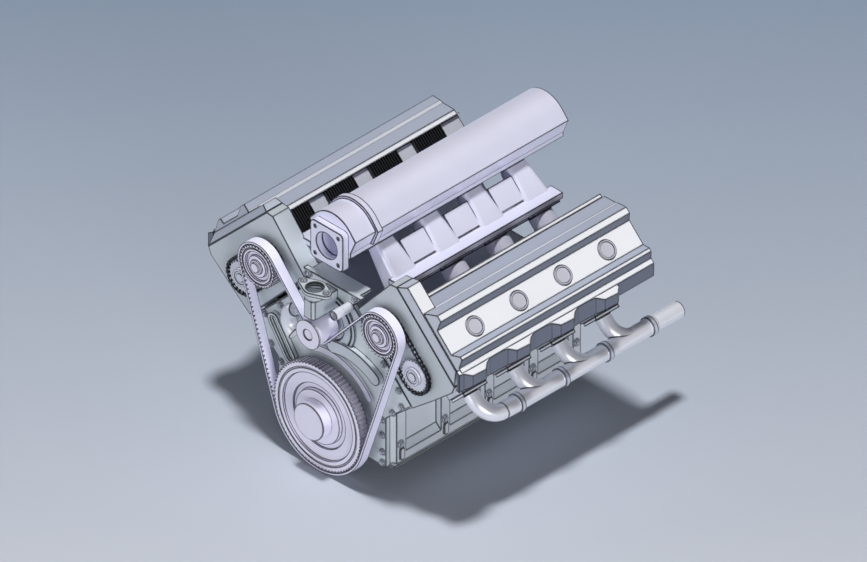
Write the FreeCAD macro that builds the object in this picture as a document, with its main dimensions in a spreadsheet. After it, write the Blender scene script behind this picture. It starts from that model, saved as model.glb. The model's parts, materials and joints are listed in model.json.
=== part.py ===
import FreeCAD, Part
import math
import os
import Sketcher

# A water-cooled V8 engine with four overhead camshafts, in millimetres.
# +Z is up, the crankshaft lies along Y with the timing drive at the front (-Y side),
# and the origin is on the crank axis at the front face of the timing wheel.
# Each bank is drawn upright (z along its cylinders, x across them) and then leans 45 degrees.

doc = FreeCAD.newDocument("V8Engine")
sheet = doc.addObject("Spreadsheet::Sheet", "Sizes")

sizes = {
    # cylinders and crank train
    "borePitch": 101.6,
    "bankStagger": 16.0,
    "firstMain": 57.4,
    "boreRadius": 46.0,
    "stroke": 60.0,
    "deckClearance": 2.0,
    "crownHeight": 36.0,
    "skirtLength": 22.0,
    "crownWall": 8.0,
    "pistonWall": 7.0,
    "wristPinRadius": 11.0,
    "journalRadius": 27.0,
    "crankPinRadius": 20.0,
    "crankPinLength": 34.0,
    "webWidth": 11.0,
    "counterweightRadius": 52.0,
    "noseRadius": 17.0,
    "collarRadius": 24.0,
    "rearFlangeRadius": 45.0,
    "rearFlangeWidth": 12.0,
    "flangeBoltCircle": 34.0,
    "flangeBoltRadius": 5.0,
    "sealRadius": 54.0,
    "fitClearance": 0.05,
    # block
    "blockFront": 44.0,
    "blockBack": 478.0,
    "blockHalfWidth": 130.0,
    "shoulderHeight": 45.0,
    "skirtDepth": 56.0,
    "valleyFloor": 120.0,
    "deckHeight": 198.0,
    "deckOuter": 66.0,
    "deckInner": 60.0,
    "crankcaseWall": 26.0,
    "bearingWeb": 22.0,
    "capHalfWidth": 50.0,
    "ribWidth": 21.0,
    "ribShift": 7.0,
    "panelDepth": 12.0,
    "cornerRadius": 9.0,
    "ovalBossRise": 3.0,
    "ovalBossHalf": 5.0,
    "bottomPlate": 4.0,
    "bellBoltRadius": 5.0,
    # heads, front cases and covers
    "headFront": 70.0,
    "headBack": 490.0,
    "headInner": 78.0,
    "headOuter": 72.0,
    "headTop": 314.0,
    "portBoss": 13.0,
    "exhaustHeight": 245.0,
    "hoodRadius": 14.0,
    "hoodLength": 58.0,
    "chamberRadius": 40.0,
    "chamberDepth": 7.0,
    "caseFront": 32.0,
    "caseTop": 331.0,
    "caseInner": 120.0,
    "coverDeck": 350.0,
    "coverRidge": 361.0,
    "coverFront": 43.0,
    "capRadius": 16.5,
    "capRise": 2.0,
    "capBoss": 9.0,
    "panelWidth": 65.0,
    "panelBase": 228.0,
    "panelThickness": 2.5,
    "finHeight": 4.0,
    "finWidth": 2.2,
    # camshafts and their drive
    "intakeCamAcross": 64.0,
    "intakeCamHeight": 262.0,
    "exhaustCamAcross": 21.0,
    "exhaustCamHeight": 260.0,
    "camTunnelRadius": 12.0,
    "camShaftRadius": 8.0,
    "camLift": 3.4,
    "camLobeWidth": 14.0,
    "camRearWall": 14.0,
    "toothPitch": 8.0,
    "crankTeeth": 80,
    "pulleyTeeth": 32,
    "sprocketTeeth": 24,
    "tipBelowPitch": 0.7,
    "toothDepth": 3.0,
    "wheelWidth": 20.0,
    "beltThickness": 4.2,
    "beltClearance": 0.3,
    "drumHeight": 175.5,
    "drumRadius": 24.0,
    "drumFlangeRadius": 27.0,
    "drumFront": 23.0,
    "drumShaftRadius": 8.0,
    "noseHubRadius": 34.0,
    "noseHubLength": 20.0,
    "pulleyHubRadius": 13.0,
    "chainFront": 21.5,
    "chainWidth": 8.0,
    "chainThickness": 4.0,
    "chainPlate": 2.4,
    "chainOverlap": 4.0,
    # front cover, pump and water outlet
    "coverPlate": 10.0,
    "pumpRadius": 56.0,
    "pumpRim": 7.0,
    "outletHeight": 263.0,
    "outletSetForward": 6.0,
    "outletBoltSpan": 52.0,
    "outletFlange": 8.0,
    "outletNeckHalf": 19.0,
    "outletNeckSide": 13.0,
    "ledgeDepth": 26.0,
    "ledgeHalf": 56.0,
    "guideWidth": 26.0,
    "guideDepth": 9.0,
    "slotWidth": 13.0,
    "railGap": 5.0,
    "railBand": 12.0,
    "armHalf": 12.0,
    "armDepth": 11.0,
    "stubPipeRadius": 8.5,
    "stubPipeReach": 40.0,
    "elbowRadius": 13.0,
    "elbowBend": 27.0,
    "coverBoltRadius": 6.0,
    "coverBoltHead": 4.0,
    # intake
    "plenumFront": 35.0,
    "plenumBack": 527.0,
    "plenumTop": 371.0,
    "plenumDome": 52.0,
    "plenumShoulder": 356.0,
    "plenumShoulderHalf": 53.0,
    "plenumHalf": 41.0,
    "plenumWaist": 328.0,
    "adaptorBack": 88.0,
    "adaptorProud": 5.0,
    "throttleHeight": 332.0,
    "throttleFlange": 75.0,
    "throttleFlangeWidth": 14.0,
    "throttleCorner": 9.0,
    "throttleBore": 24.0,
    "throttleBoltSpan": 53.0,
    "throttleBoltRadius": 2.75,
    "throttlePlateAt": 62.0,
    "throttlePlateThickness": 2.0,
    "throttleShaftRadius": 4.0,
    "throttleGap": 0.3,
    "runnerHeight": 237.0,
    "runnerTop": 196.6,
    "runnerWidthTop": 40.0,
    "runnerDepthTop": 33.0,
    "runnerWidthFoot": 58.0,
    "runnerDepthFoot": 44.0,
    "railInner": 117.0,
    "railThickness": 11.0,
    "railLow": 207.0,
    "railHigh": 262.0,
    "railReach": 30.0,
    "stubRadius": 22.0,
    # exhaust
    "pipeRadius": 15.0,
    "primaryRadius": 14.5,
    "spigotRadius": 14.4,
    "pipeBore": 13.0,
    "bendRadius": 38.0,
    "logAcross": 142.5,
    "logBack": 561.0,
    "portFlange": 6.0,
    "portFlangeHalf": 27.0,
    "clampRadius": 17.5,
    "clampWidth": 9.0,
}

for row, (alias, value) in enumerate(sizes.items(), 1):
    sheet.set("A%d" % row, alias)
    sheet.set("B%d" % row, str(value))
    sheet.setAlias("B%d" % row, alias)
doc.recompute()


class Size:
    """A dimension together with the expression that ties it to the sheet."""

    def __init__(self, value, text):
        self.value = value
        self.text = text

    def __float__(self):
        return self.value

    def __add__(self, other):
        other = asSize(other)
        return Size(self.value + other.value, "(%s + %s)" % (self.text, other.text))

    def __sub__(self, other):
        other = asSize(other)
        return Size(self.value - other.value, "(%s - %s)" % (self.text, other.text))

    def __mul__(self, other):
        other = asSize(other)
        return Size(self.value * other.value, "(%s * %s)" % (self.text, other.text))

    def __truediv__(self, other):
        other = asSize(other)
        return Size(self.value / other.value, "(%s / %s)" % (self.text, other.text))

    def __neg__(self):
        return asSize(0) - self

    def __radd__(self, other):
        return asSize(other) + self

    def __rsub__(self, other):
        return asSize(other) - self

    def __rmul__(self, other):
        return asSize(other) * self


def asSize(value):
    if isinstance(value, Size):
        return value
    return Size(float(value), "(%.9f)" % value)


class SheetSizes:
    """Reads a cell of the sheet by its alias."""

    def __getattr__(self, alias):
        return Size(float(getattr(sheet, alias)), "Sizes." + alias)


dim = SheetSizes()
slope = math.sqrt(0.5)
cylindersPerBank = 4
banks = {"right": 1, "left": -1}
nodes = []


def bind(thing, name, value):
    thing.setExpression(name, asSize(value).text)


def keep(thing, label, placement=None):
    """Registers a finished sub-part under its own name and place."""
    thing.Label = label
    if placement is not None:
        thing.Placement = placement
    nodes.append(thing)
    return thing


def newBody(name):
    return doc.addObject("PartDesign::Body", name)


def originFeature(body, role):
    for feature in body.Origin.OriginFeatures:
        if feature.Role == role:
            return feature


def pinPoint(sketch, geometry, position, x, y):
    first = len(sketch.Constraints)
    sketch.addConstraint([
        Sketcher.Constraint("DistanceX", -1, 1, geometry, position, float(x)),
        Sketcher.Constraint("DistanceY", -1, 1, geometry, position, float(y)),
    ])
    bind(sketch, "Constraints[%d]" % first, x)
    bind(sketch, "Constraints[%d]" % (first + 1), y)


def ring(x, y, radius):
    return ("ring", x, y, radius)


def drawRing(sketch, x, y, radius):
    circle = Part.Circle(FreeCAD.Vector(float(x), float(y), 0), FreeCAD.Vector(0, 0, 1), float(radius))
    index = sketch.addGeometry(circle)
    pinPoint(sketch, index, 3, x, y)
    constraint = sketch.addConstraint(Sketcher.Constraint("Radius", index, float(radius)))
    bind(sketch, "Constraints[%d]" % constraint, radius)


def drawCorners(sketch, corners):
    """A closed outline, anticlockwise; a third value makes the next edge an arc, hollow where it is negative."""
    first = sketch.GeometryCount
    count = len(corners)
    points = [FreeCAD.Vector(float(corner[0]), float(corner[1]), 0) for corner in corners]
    for i, corner in enumerate(corners):
        start = points[i]
        end = points[(i + 1) % count]
        if len(corner) == 3:
            chord = end - start
            outward = FreeCAD.Vector(chord.y, -chord.x, 0).normalize()
            radius = abs(float(corner[2]))
            outward *= math.copysign(1, float(corner[2]))
            centre = (start + end) / 2 - outward * math.sqrt(radius ** 2 - (chord.Length / 2) ** 2)
            sketch.addGeometry(Part.Arc(start, centre + outward * radius, end))
        else:
            sketch.addGeometry(Part.LineSegment(start, end))
    sketch.addConstraint([
        Sketcher.Constraint("Coincident", first + i, 2, first + (i + 1) % count, 1) for i in range(count)
    ])
    for i, corner in enumerate(corners):
        pinPoint(sketch, first + i, 1, corner[0], corner[1])
    for i, corner in enumerate(corners):
        if len(corner) == 3:
            radius = corner[2] if float(corner[2]) > 0 else -corner[2]
            constraint = sketch.addConstraint(Sketcher.Constraint("Radius", first + i, float(radius)))
            bind(sketch, "Constraints[%d]" % constraint, radius)


def sketchOn(body, plane, loops, start):
    sketch = body.newObject("Sketcher::SketchObject", body.Name + "Sketch")
    sketch.AttachmentSupport = [(originFeature(body, plane), "")]
    sketch.MapMode = "FlatFace"
    bind(sketch, "AttachmentOffset.Base.z", -asSize(start) if plane == "XZ_Plane" else asSize(start))
    for loop in loops:
        if loop[0] == "ring":
            drawRing(sketch, loop[1], loop[2], loop[3])
        else:
            drawCorners(sketch, loop)
    return sketch


def repeat(body, feature, count, step):
    """Repeats a feature along the crank axis."""
    pattern = body.newObject("PartDesign::LinearPattern", feature.Name + "Row")
    pattern.Originals = [feature]
    pattern.Direction = (originFeature(body, "Y_Axis"), [""])
    bind(pattern, "Length", step * (count - 1))
    pattern.Occurrences = count
    body.Tip = pattern
    return pattern


def prism(body, plane, loops, start=0, length=None, cut=False, count=1, step=None):
    """Pads or pockets an outline from its start towards the positive side; no length goes right through."""
    sketch = sketchOn(body, plane, loops, start)
    feature = body.newObject("PartDesign::Pocket" if cut else "PartDesign::Pad", body.Name + "Step")
    feature.Profile = sketch
    feature.Reversed = (plane == "XZ_Plane") != cut
    if length is None:
        feature.Type = "ThroughAll"
    else:
        bind(feature, "Length", length)
    body.Tip = feature
    if count > 1:
        repeat(body, feature, count, step)
    return feature


def rectangle(left, low, right, high):
    return [(left, low), (right, low), (right, high), (left, high)]


def mirroredOutline(half):
    """Adds to the right half of an outline, listed from the bottom up, its mirror image."""
    return list(half) + [(-asSize(x), y) for x, y in reversed(half)]


def cylinder(radius, length, x=0, y=0, z=0, along="Y"):
    thing = doc.addObject("Part::Cylinder", "Cylinder")
    turns = {
        "X": FreeCAD.Rotation(FreeCAD.Vector(0, 1, 0), 90),
        "Y": FreeCAD.Rotation(FreeCAD.Vector(1, 0, 0), -90),
        "Z": FreeCAD.Rotation(),
    }
    thing.Placement = FreeCAD.Placement(FreeCAD.Vector(0, 0, 0), turns[along])
    bind(thing, "Radius", radius)
    bind(thing, "Height", length)
    for axis, value in zip("xyz", (x, y, z)):
        bind(thing, "Placement.Base." + axis, value)
    return thing


def box(x, y, z, length, width, height):
    thing = doc.addObject("Part::Box", "Box")
    for name, value in zip(("Length", "Width", "Height"), (length, width, height)):
        bind(thing, name, value)
    for axis, value in zip("xyz", (x, y, z)):
        bind(thing, "Placement.Base." + axis, value)
    return thing


def fused(name, things):
    thing = doc.addObject("Part::MultiFuse", name)
    thing.Shapes = things
    return thing


def cutFrom(name, base, tools):
    thing = doc.addObject("Part::Cut", name)
    thing.Base = base
    thing.Tool = tools[0] if len(tools) == 1 else fused(name + "Tools", tools)
    return thing


def solidNode(label, shape, placement=None):
    thing = doc.addObject("Part::Feature", label)
    own = shape.Placement
    thing.Shape = shape
    return keep(thing, label, placement.multiply(own) if placement else own)


def lean(side, y=0, up=0):
    """The place of a piece drawn upright in its bank, moved along the crank and along the cylinders."""
    turn = FreeCAD.Rotation(FreeCAD.Vector(0, 1, 0), 45 * side)
    return FreeCAD.Placement(turn.multVec(FreeCAD.Vector(0, float(y), float(up))), turn)


def bank(across, up):
    """Point of the right bank, given across and along its cylinders, in the engine's X and Z."""
    across = asSize(across)
    up = asSize(up)
    return ((up + across) * slope, (up - across) * slope)


def between(first, second, share):
    return tuple(asSize(a) * (1 - share) + asSize(b) * share for a, b in zip(first, second))


# Stations along the crankshaft.
firstPin = dim.firstMain + dim.borePitch / 2
firstBore = {"right": firstPin + dim.bankStagger / 2, "left": firstPin - dim.bankStagger / 2}
clear = dim.fitClearance

# Cylinder block: deep skirt, open V, four bays between five bearing webs.

block = newBody("EngineBlock")
deckCorner = bank(dim.deckOuter, dim.deckHeight)
shoulder = (dim.blockHalfWidth, dim.shoulderHeight)
valleyHalf = dim.valleyFloor - dim.deckInner / slope
section = mirroredOutline([
    (dim.blockHalfWidth, -dim.skirtDepth),
    shoulder,
    deckCorner,
    bank(-dim.deckInner, dim.deckHeight),
    (valleyHalf, dim.valleyFloor),
])
prism(block, "XZ_Plane", [section], dim.blockFront, dim.blockBack - dim.blockFront)
caseHalf = dim.blockHalfWidth - dim.crankcaseWall
roof = dim.counterweightRadius + 12
bay = mirroredOutline([
    (caseHalf, -dim.skirtDepth - 1),
    (caseHalf, dim.shoulderHeight - 15),
    (caseHalf - 34, dim.shoulderHeight + 35),
    (asSize(20), roof),
])
prism(block, "XZ_Plane", [bay], dim.firstMain + dim.bearingWeb / 2, dim.borePitch - dim.bearingWeb,
      cut=True, count=cylindersPerBank, step=dim.borePitch)
capSlot = rectangle(-dim.capHalfWidth, -dim.skirtDepth - 1, dim.capHalfWidth, 0)
prism(block, "XZ_Plane", [capSlot], 0, cut=True)
prism(block, "XZ_Plane", [ring(0, 0, dim.journalRadius + clear)], 0, cut=True)
# Recessed side panels between the ribs, from the skirt up the slope to just below the deck.
insideShoulder = (dim.blockHalfWidth - dim.panelDepth, dim.shoulderHeight + dim.panelDepth / 2)
panelTop = between(shoulder, deckCorner, 0.8)
panel = [
    (dim.blockHalfWidth + 1, -dim.skirtDepth + 16),
    (dim.blockHalfWidth + 1, dim.shoulderHeight - 1),
    (panelTop[0] + 2, panelTop[1] - 1),
    (panelTop[0] - dim.panelDepth, panelTop[1] + 2),
    insideShoulder,
    (dim.blockHalfWidth - dim.panelDepth, -dim.skirtDepth + 16 + dim.panelDepth),
]
farPanel = [(-x, y) for x, y in reversed(panel)]
prism(block, "XZ_Plane", [panel, farPanel], dim.firstMain + dim.ribShift + dim.ribWidth / 2,
      dim.borePitch - dim.ribWidth, cut=True, count=cylindersPerBank, step=dim.borePitch)
# The front corners below the shoulder are rounded off.
round, front = dim.cornerRadius, dim.blockFront
right, left = dim.blockHalfWidth, -dim.blockHalfWidth
corner = [(right + 1, front - 1), (right + 1, front + round), (right, front + round, -round),
          (right - round, front), (right - round, front - 1)]
farCorner = [(left - 1, front - 1), (left + round, front - 1), (left + round, front, -round),
             (left, front + round), (left - 1, front + round)]
prism(block, "XY_Plane", [corner, farCorner], -dim.skirtDepth - 1, dim.skirtDepth + dim.shoulderHeight + 1,
      cut=True)
# An upright oval boss stands on the foot of each rib.
bossLow = -dim.skirtDepth + 9
bossPlace = dim.firstMain + dim.ribShift
for side in (1, -1):
    loops = []
    for k in range(cylindersPerBank):
        left = bossPlace + dim.borePitch * k - dim.ovalBossHalf
        right = bossPlace + dim.borePitch * k + dim.ovalBossHalf
        high = bossLow + dim.ovalBossHalf * 3
        loops.append([(left, bossLow, dim.ovalBossHalf * 1.02), (right, bossLow),
                      (right, high, dim.ovalBossHalf * 1.02), (left, high)])
    start = dim.blockHalfWidth - 1 if side > 0 else -dim.blockHalfWidth - dim.ovalBossRise
    prism(block, "YZ_Plane", loops, start, dim.ovalBossRise + 1)
# Cylinder bores, from above the crankcase to the deck.
boreFoot = 74.0
for side, sign in banks.items():
    sketch = sketchOn(block, "XY_Plane", [
        ring(0, firstBore[side] + dim.borePitch * k, dim.boreRadius) for k in range(cylindersPerBank)
    ], 0)
    turn = FreeCAD.Rotation(FreeCAD.Vector(0, 1, 0), 45 * sign)
    sketch.setExpression("AttachmentOffset.Base.z", None)
    sketch.AttachmentOffset = FreeCAD.Placement(turn.multVec(FreeCAD.Vector(0, 0, boreFoot)), turn)
    bores = block.newObject("PartDesign::Pocket", "Bores" + side.title())
    bores.Profile = sketch
    bores.Reversed = True
    bind(bores, "Length", dim.deckHeight - boreFoot + 10)
    block.Tip = bores
# Threaded holes for the bell housing, in the rear wall.
bellHoles = []
for x, z in ((dim.blockHalfWidth - 25, -dim.skirtDepth + 18), (dim.blockHalfWidth - 18, dim.shoulderHeight - 20),
             (dim.blockHalfWidth - 70, dim.valleyFloor - 2)):
    bellHoles += [ring(x, z, dim.bellBoltRadius), ring(-x, z, dim.bellBoltRadius)]
prism(block, "XZ_Plane", bellHoles, dim.blockBack - 20, 21, cut=True)
# The rear seal lies flush in the rear wall, against the last bearing cap.
sealFront = dim.firstMain + dim.borePitch * cylindersPerBank + dim.bearingWeb / 2
sealDepth = dim.blockBack - sealFront
prism(block, "XZ_Plane", [ring(0, 0, dim.sealRadius + clear)], sealFront, sealDepth + 1, cut=True)
keep(block, "engine_block")

bottom = newBody("BottomPlate")
prism(bottom, "XZ_Plane", [rectangle(-dim.blockHalfWidth - 3, -dim.skirtDepth - dim.bottomPlate,
                                     dim.blockHalfWidth + 3, -dim.skirtDepth)],
      dim.blockFront, dim.blockBack - dim.blockFront)
keep(bottom, "bottom_plate")

caps = newBody("MainBearingCaps")
capOutline = rectangle(-dim.capHalfWidth, -dim.skirtDepth, dim.capHalfWidth, 0)
prism(caps, "XZ_Plane", [capOutline], dim.firstMain - dim.bearingWeb / 2, dim.bearingWeb)
prism(caps, "XZ_Plane", [ring(0, 0, dim.journalRadius + clear)], 0, cut=True)
doc.recompute()
capShapes = []
for k in range(cylindersPerBank + 1):
    copy = caps.Shape.copy()
    copy.translate(FreeCAD.Vector(0, float(dim.borePitch) * k, 0))
    capShapes.append(copy)
solidNode("main_bearing_caps", Part.makeCompound(capShapes))

# Crankshaft: five mains, four pins a quarter turn apart, eight counterweighted webs.


def webFace(side, angle):
    """Cheek round the pin, widening to a counterweight on the far side."""
    throw = float(dim.stroke) / 2
    cheek = float(dim.crankPinRadius) + 1
    weight = float(dim.counterweightRadius)
    spread = math.radians(62)
    left = FreeCAD.Vector(-weight * math.sin(spread), 0, -weight * math.cos(spread))
    right = FreeCAD.Vector(-left.x, 0, left.z)
    bottomPoint = FreeCAD.Vector(0, 0, -weight)
    cheekLeft = FreeCAD.Vector(-cheek, 0, throw)
    cheekRight = FreeCAD.Vector(cheek, 0, throw)
    top = FreeCAD.Vector(0, 0, throw + cheek)
    edges = [
        Part.Arc(left, bottomPoint, right).toShape(),
        Part.makeLine(right, cheekRight),
        Part.Arc(cheekRight, top, cheekLeft).toShape(),
        Part.makeLine(cheekLeft, left),
    ]
    face = Part.Face(Part.Wire(edges))
    face.rotate(FreeCAD.Vector(0, 0, 0), FreeCAD.Vector(0, 1, 0), angle)
    face.translate(FreeCAD.Vector(0, float(side), 0))
    return face.extrude(FreeCAD.Vector(0, float(dim.webWidth), 0))


# Pins lead the right bank's axis by these angles, which gives the usual cross-plane order.
pinAngles = [0, 90, 270, 180]
throw = dim.stroke / 2
mainHalf = dim.borePitch / 2 - dim.crankPinLength / 2 - dim.webWidth
pieces = []


def rod(radius, start, length, x=0, z=0):
    return Part.makeCylinder(float(radius), float(length), FreeCAD.Vector(float(x), float(start), float(z)),
                             FreeCAD.Vector(0, 1, 0))


for k in range(cylindersPerBank + 1):
    main = dim.firstMain + dim.borePitch * k
    pieces.append(rod(dim.journalRadius, main - mainHalf, mainHalf * 2))
for k, angle in enumerate(pinAngles):
    centre = firstPin + dim.borePitch * k
    around = math.radians(45 - angle)
    pieces.append(rod(dim.crankPinRadius, centre - dim.crankPinLength / 2, dim.crankPinLength,
                      throw * math.sin(around), throw * math.cos(around)))
    pieces.append(webFace(centre - dim.crankPinLength / 2 - dim.webWidth, 45 - angle))
    pieces.append(webFace(centre + dim.crankPinLength / 2, 45 - angle))
frontMain = dim.firstMain - mainHalf
wheelBack = dim.wheelWidth + 2
pieces.append(rod(dim.noseRadius, 0, frontMain + 1))
pieces.append(rod(dim.collarRadius, wheelBack, frontMain - wheelBack + 0.5))
rearMain = dim.firstMain + dim.borePitch * cylindersPerBank + mainHalf
pieces.append(rod(dim.rearFlangeRadius, rearMain, dim.rearFlangeWidth))
shaft = pieces[0].multiFuse(pieces[1:]).removeSplitter()
holes = []
for k in range(6):
    around = math.radians(60 * k)
    holes.append(rod(dim.flangeBoltRadius, rearMain - 1, dim.rearFlangeWidth + 2,
                     dim.flangeBoltCircle * math.cos(around), dim.flangeBoltCircle * math.sin(around)))
solidNode("crankshaft", shaft.cut(Part.makeCompound(holes)))

# Pistons, each at the height its crank pin gives it.


# The rod is as long as leaves the crown just below the deck at the top of its stroke.
throwLength = dim.stroke / 2
rodLength = float(dim.deckHeight - dim.deckClearance - dim.crownHeight - throwLength)


def pinHeight(angle):
    reach = float(throwLength) * math.sin(math.radians(angle))
    return float(throwLength) * math.cos(math.radians(angle)) + math.sqrt(rodLength ** 2 - reach ** 2)


def makePiston(name):
    body = newBody(name)
    outer = dim.boreRadius - clear
    inner = dim.boreRadius - dim.pistonWall
    profile = [(asSize(0), dim.crownHeight - dim.crownWall), (inner, dim.crownHeight - dim.crownWall),
               (inner, -dim.skirtLength), (outer, -dim.skirtLength)]
    for low in (17, 12, 7):
        grooveFoot = dim.crownHeight - low
        profile += [(outer, grooveFoot), (outer - 3, grooveFoot), (outer - 3, grooveFoot + 2),
                    (outer, grooveFoot + 2)]
    profile += [(outer, dim.crownHeight), (asSize(0), dim.crownHeight)]
    sketch = sketchOn(body, "XZ_Plane", [profile], 0)
    turned = body.newObject("PartDesign::Revolution", name + "Turned")
    turned.Profile = sketch
    turned.ReferenceAxis = (originFeature(body, "Z_Axis"), [""])
    turned.Angle = 360
    body.Tip = turned
    prism(body, "XZ_Plane", [ring(0, 0, dim.wristPinRadius)], -(inner + 2), (inner + 2) * 2)
    return body


for side, sign in banks.items():
    for k, angle in enumerate(pinAngles):
        fromBank = angle if side == "right" else angle - 90
        piston = makePiston("Piston%s%d" % (side.title(), k + 1))
        keep(piston, "piston_%s_%d" % (side, k + 1),
             lean(sign, firstBore[side] + dim.borePitch * k, pinHeight(fromBank)))

# Heads, front cases, cam covers, and what sits on them.

camSpots = {
    "intake": (-dim.intakeCamAcross, dim.intakeCamHeight),
    "exhaust": (dim.exhaustCamAcross, dim.exhaustCamHeight),
}


def across(side, outline):
    """Turns an outline across the right bank into one for the given side, still anticlockwise."""
    if banks[side] == 1:
        return outline
    return [(-asSize(corner[0]),) + tuple(corner[1:]) for corner in reversed(outline)]


def camRings(side, radius):
    return [ring(spot[0] * banks[side], spot[1], radius) for spot in camSpots.values()]


for side, sign in banks.items():
    place = lean(sign)
    title = side.title()
    head = newBody("Head" + title)
    outline = [(-dim.headInner, dim.deckHeight), (dim.headOuter, dim.deckHeight),
               (dim.headOuter, dim.headTop - dim.hoodLength), (dim.headOuter + 3, dim.headTop - dim.hoodLength + 6),
               (dim.headOuter + 3, dim.headTop), (-dim.headInner, dim.headTop)]
    prism(head, "XZ_Plane", [across(side, outline)], dim.headFront, dim.headBack - dim.headFront)
    bossOutline = across(side, rectangle(dim.headOuter - 1, dim.exhaustHeight - 26,
                                         dim.headOuter + dim.portBoss, dim.exhaustHeight + 19))
    prism(head, "XZ_Plane", [bossOutline], firstBore[side] - dim.portFlangeHalf, dim.portFlangeHalf * 2,
          count=cylindersPerBank, step=dim.borePitch)
    hoods = [ring(dim.headOuter * sign + sign * 9, firstBore[side] + offset, dim.hoodRadius)
             for offset in (-26, 26)]
    prism(head, "XY_Plane", hoods, dim.headTop - dim.hoodLength + 8, dim.hoodLength - 8, cut=True,
          count=cylindersPerBank, step=dim.borePitch)
    prism(head, "XZ_Plane", camRings(side, dim.camTunnelRadius), dim.headFront - 1,
          dim.headBack - dim.headFront - dim.camRearWall, cut=True)
    prism(head, "XY_Plane", [ring(0, firstBore[side], dim.chamberRadius)], dim.deckHeight, dim.chamberDepth,
          cut=True, count=cylindersPerBank, step=dim.borePitch)
    keep(head, "cylinder_head_" + side, place)

    case = newBody("FrontCase" + title)
    caseOutline = [(-dim.caseInner, dim.deckHeight + 9), (dim.headOuter - 6, dim.deckHeight + 2),
                   (dim.headOuter, dim.headTop - dim.hoodLength), (dim.headOuter + 5, dim.caseTop - 14),
                   (dim.headOuter - 1, dim.caseTop), (-dim.caseInner + 1, dim.caseTop),
                   (-dim.caseInner - 8, dim.caseTop - 11)]
    prism(case, "XZ_Plane", [across(side, caseOutline)], dim.caseFront, dim.headFront - dim.caseFront)
    prism(case, "XZ_Plane", camRings(side, dim.camTunnelRadius), 0, cut=True)
    keep(case, "front_case_" + side, place)

    cover = newBody("CamCover" + title)
    profile = [(-dim.headInner, dim.headTop), (dim.headOuter + 3, dim.headTop),
               (dim.headOuter + 3, dim.caseTop), (dim.headOuter - 15, dim.coverDeck),
               (dim.headOuter - 24.5, dim.coverDeck), (dim.headOuter - 34, dim.coverRidge - 1),
               (dim.headOuter - 40, dim.coverRidge - 1), (dim.headOuter - 50, dim.coverDeck),
               (-dim.headInner + 54, dim.coverDeck), (-dim.headInner + 44.5, dim.coverRidge),
               (-dim.headInner + 33, dim.coverRidge), (-dim.headInner + 21, dim.coverDeck - 2),
               (-dim.headInner + 18, dim.coverDeck - 8), (-dim.headInner, dim.headTop + 9)]
    prism(cover, "XZ_Plane", [across(side, profile)], dim.headFront, dim.headBack - dim.headFront)
    overCase = [(-dim.headInner + 4, dim.caseTop)] + [(dim.headOuter - 1, dim.caseTop)] + profile[3:13]
    prism(cover, "XZ_Plane", [across(side, overCase)], dim.coverFront, dim.headFront - dim.coverFront)
    frustum = [(-dim.caseInner + 1, dim.caseTop), (dim.headOuter - 1, dim.caseTop),
               (dim.headOuter - 23, dim.coverDeck - 5), (-dim.caseInner + 11, dim.coverDeck - 5)]
    prism(cover, "XZ_Plane", [across(side, frustum)], dim.caseFront, dim.headFront - dim.caseFront)
    # The front ends slope back, the frustum first and then the two ridges.
    slopeBack = [(dim.caseFront - 1, dim.caseTop), (dim.caseFront, dim.caseTop),
                 (dim.coverFront - 2, dim.coverDeck - 5), (dim.coverFront, dim.coverDeck - 5),
                 (dim.coverFront + 11, dim.coverRidge + 1), (dim.caseFront - 1, dim.coverRidge + 1)]
    prism(cover, "YZ_Plane", [slopeBack], -200, 400, cut=True)
    wells = [ring(0, firstBore[side], dim.capRadius + 0.2)]
    prism(cover, "XY_Plane", wells, dim.coverDeck - dim.capBoss, dim.capBoss + 2, cut=True,
          count=cylindersPerBank, step=dim.borePitch)
    keep(cover, "cam_cover_" + side, place)

    # Each well cap is a disc with a raised rim round a shallow dish.
    plugCaps = newBody("WellCaps" + title)
    prism(plugCaps, "XY_Plane", [ring(0, firstBore[side], dim.capRadius)], dim.coverDeck - dim.capBoss,
          dim.capBoss + dim.capRise)
    prism(plugCaps, "XY_Plane", [ring(0, firstBore[side], dim.capRadius - 3)], dim.coverDeck + 0.5, 5, cut=True)
    doc.recompute()
    discs = []
    for k in range(cylindersPerBank):
        copy = plugCaps.Shape.copy()
        copy.translate(FreeCAD.Vector(0, float(dim.borePitch) * k, 0))
        discs.append(copy)
    solidNode("plug_well_caps_" + side, Part.makeCompound(discs), place)

    # Finned panels on the valley wall, notched round the intake stubs.
    panels = newBody("PortPanel" + title)
    panelCentre = firstBore[side] + 8
    wall = rectangle(-dim.headInner - dim.panelThickness, dim.panelBase, -dim.headInner, dim.headTop)
    prism(panels, "XZ_Plane", [across(side, wall)], panelCentre - dim.panelWidth / 2, dim.panelWidth)
    fin = rectangle(-dim.headInner - dim.panelThickness - dim.finHeight, dim.panelBase,
                    -dim.headInner - dim.panelThickness + 0.5, dim.headTop)
    finCount = 13
    finStep = (dim.panelWidth - dim.finWidth) / (finCount - 1)
    prism(panels, "XZ_Plane", [across(side, fin)], panelCentre - dim.panelWidth / 2, dim.finWidth,
          count=finCount, step=finStep)
    prism(panels, "YZ_Plane", [ring(firstBore[side], dim.runnerHeight, dim.stubRadius + 0.3)], -200, 400, cut=True)
    doc.recompute()
    copies = []
    for k in range(cylindersPerBank):
        copy = panels.Shape.copy()
        copy.translate(FreeCAD.Vector(0, float(dim.borePitch) * k, 0))
        copies.append(copy)
    solidNode("port_panels_" + side, Part.makeCompound(copies), place)

# Camshafts: journals that fill the tunnels, two lobes for each cylinder.


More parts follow.
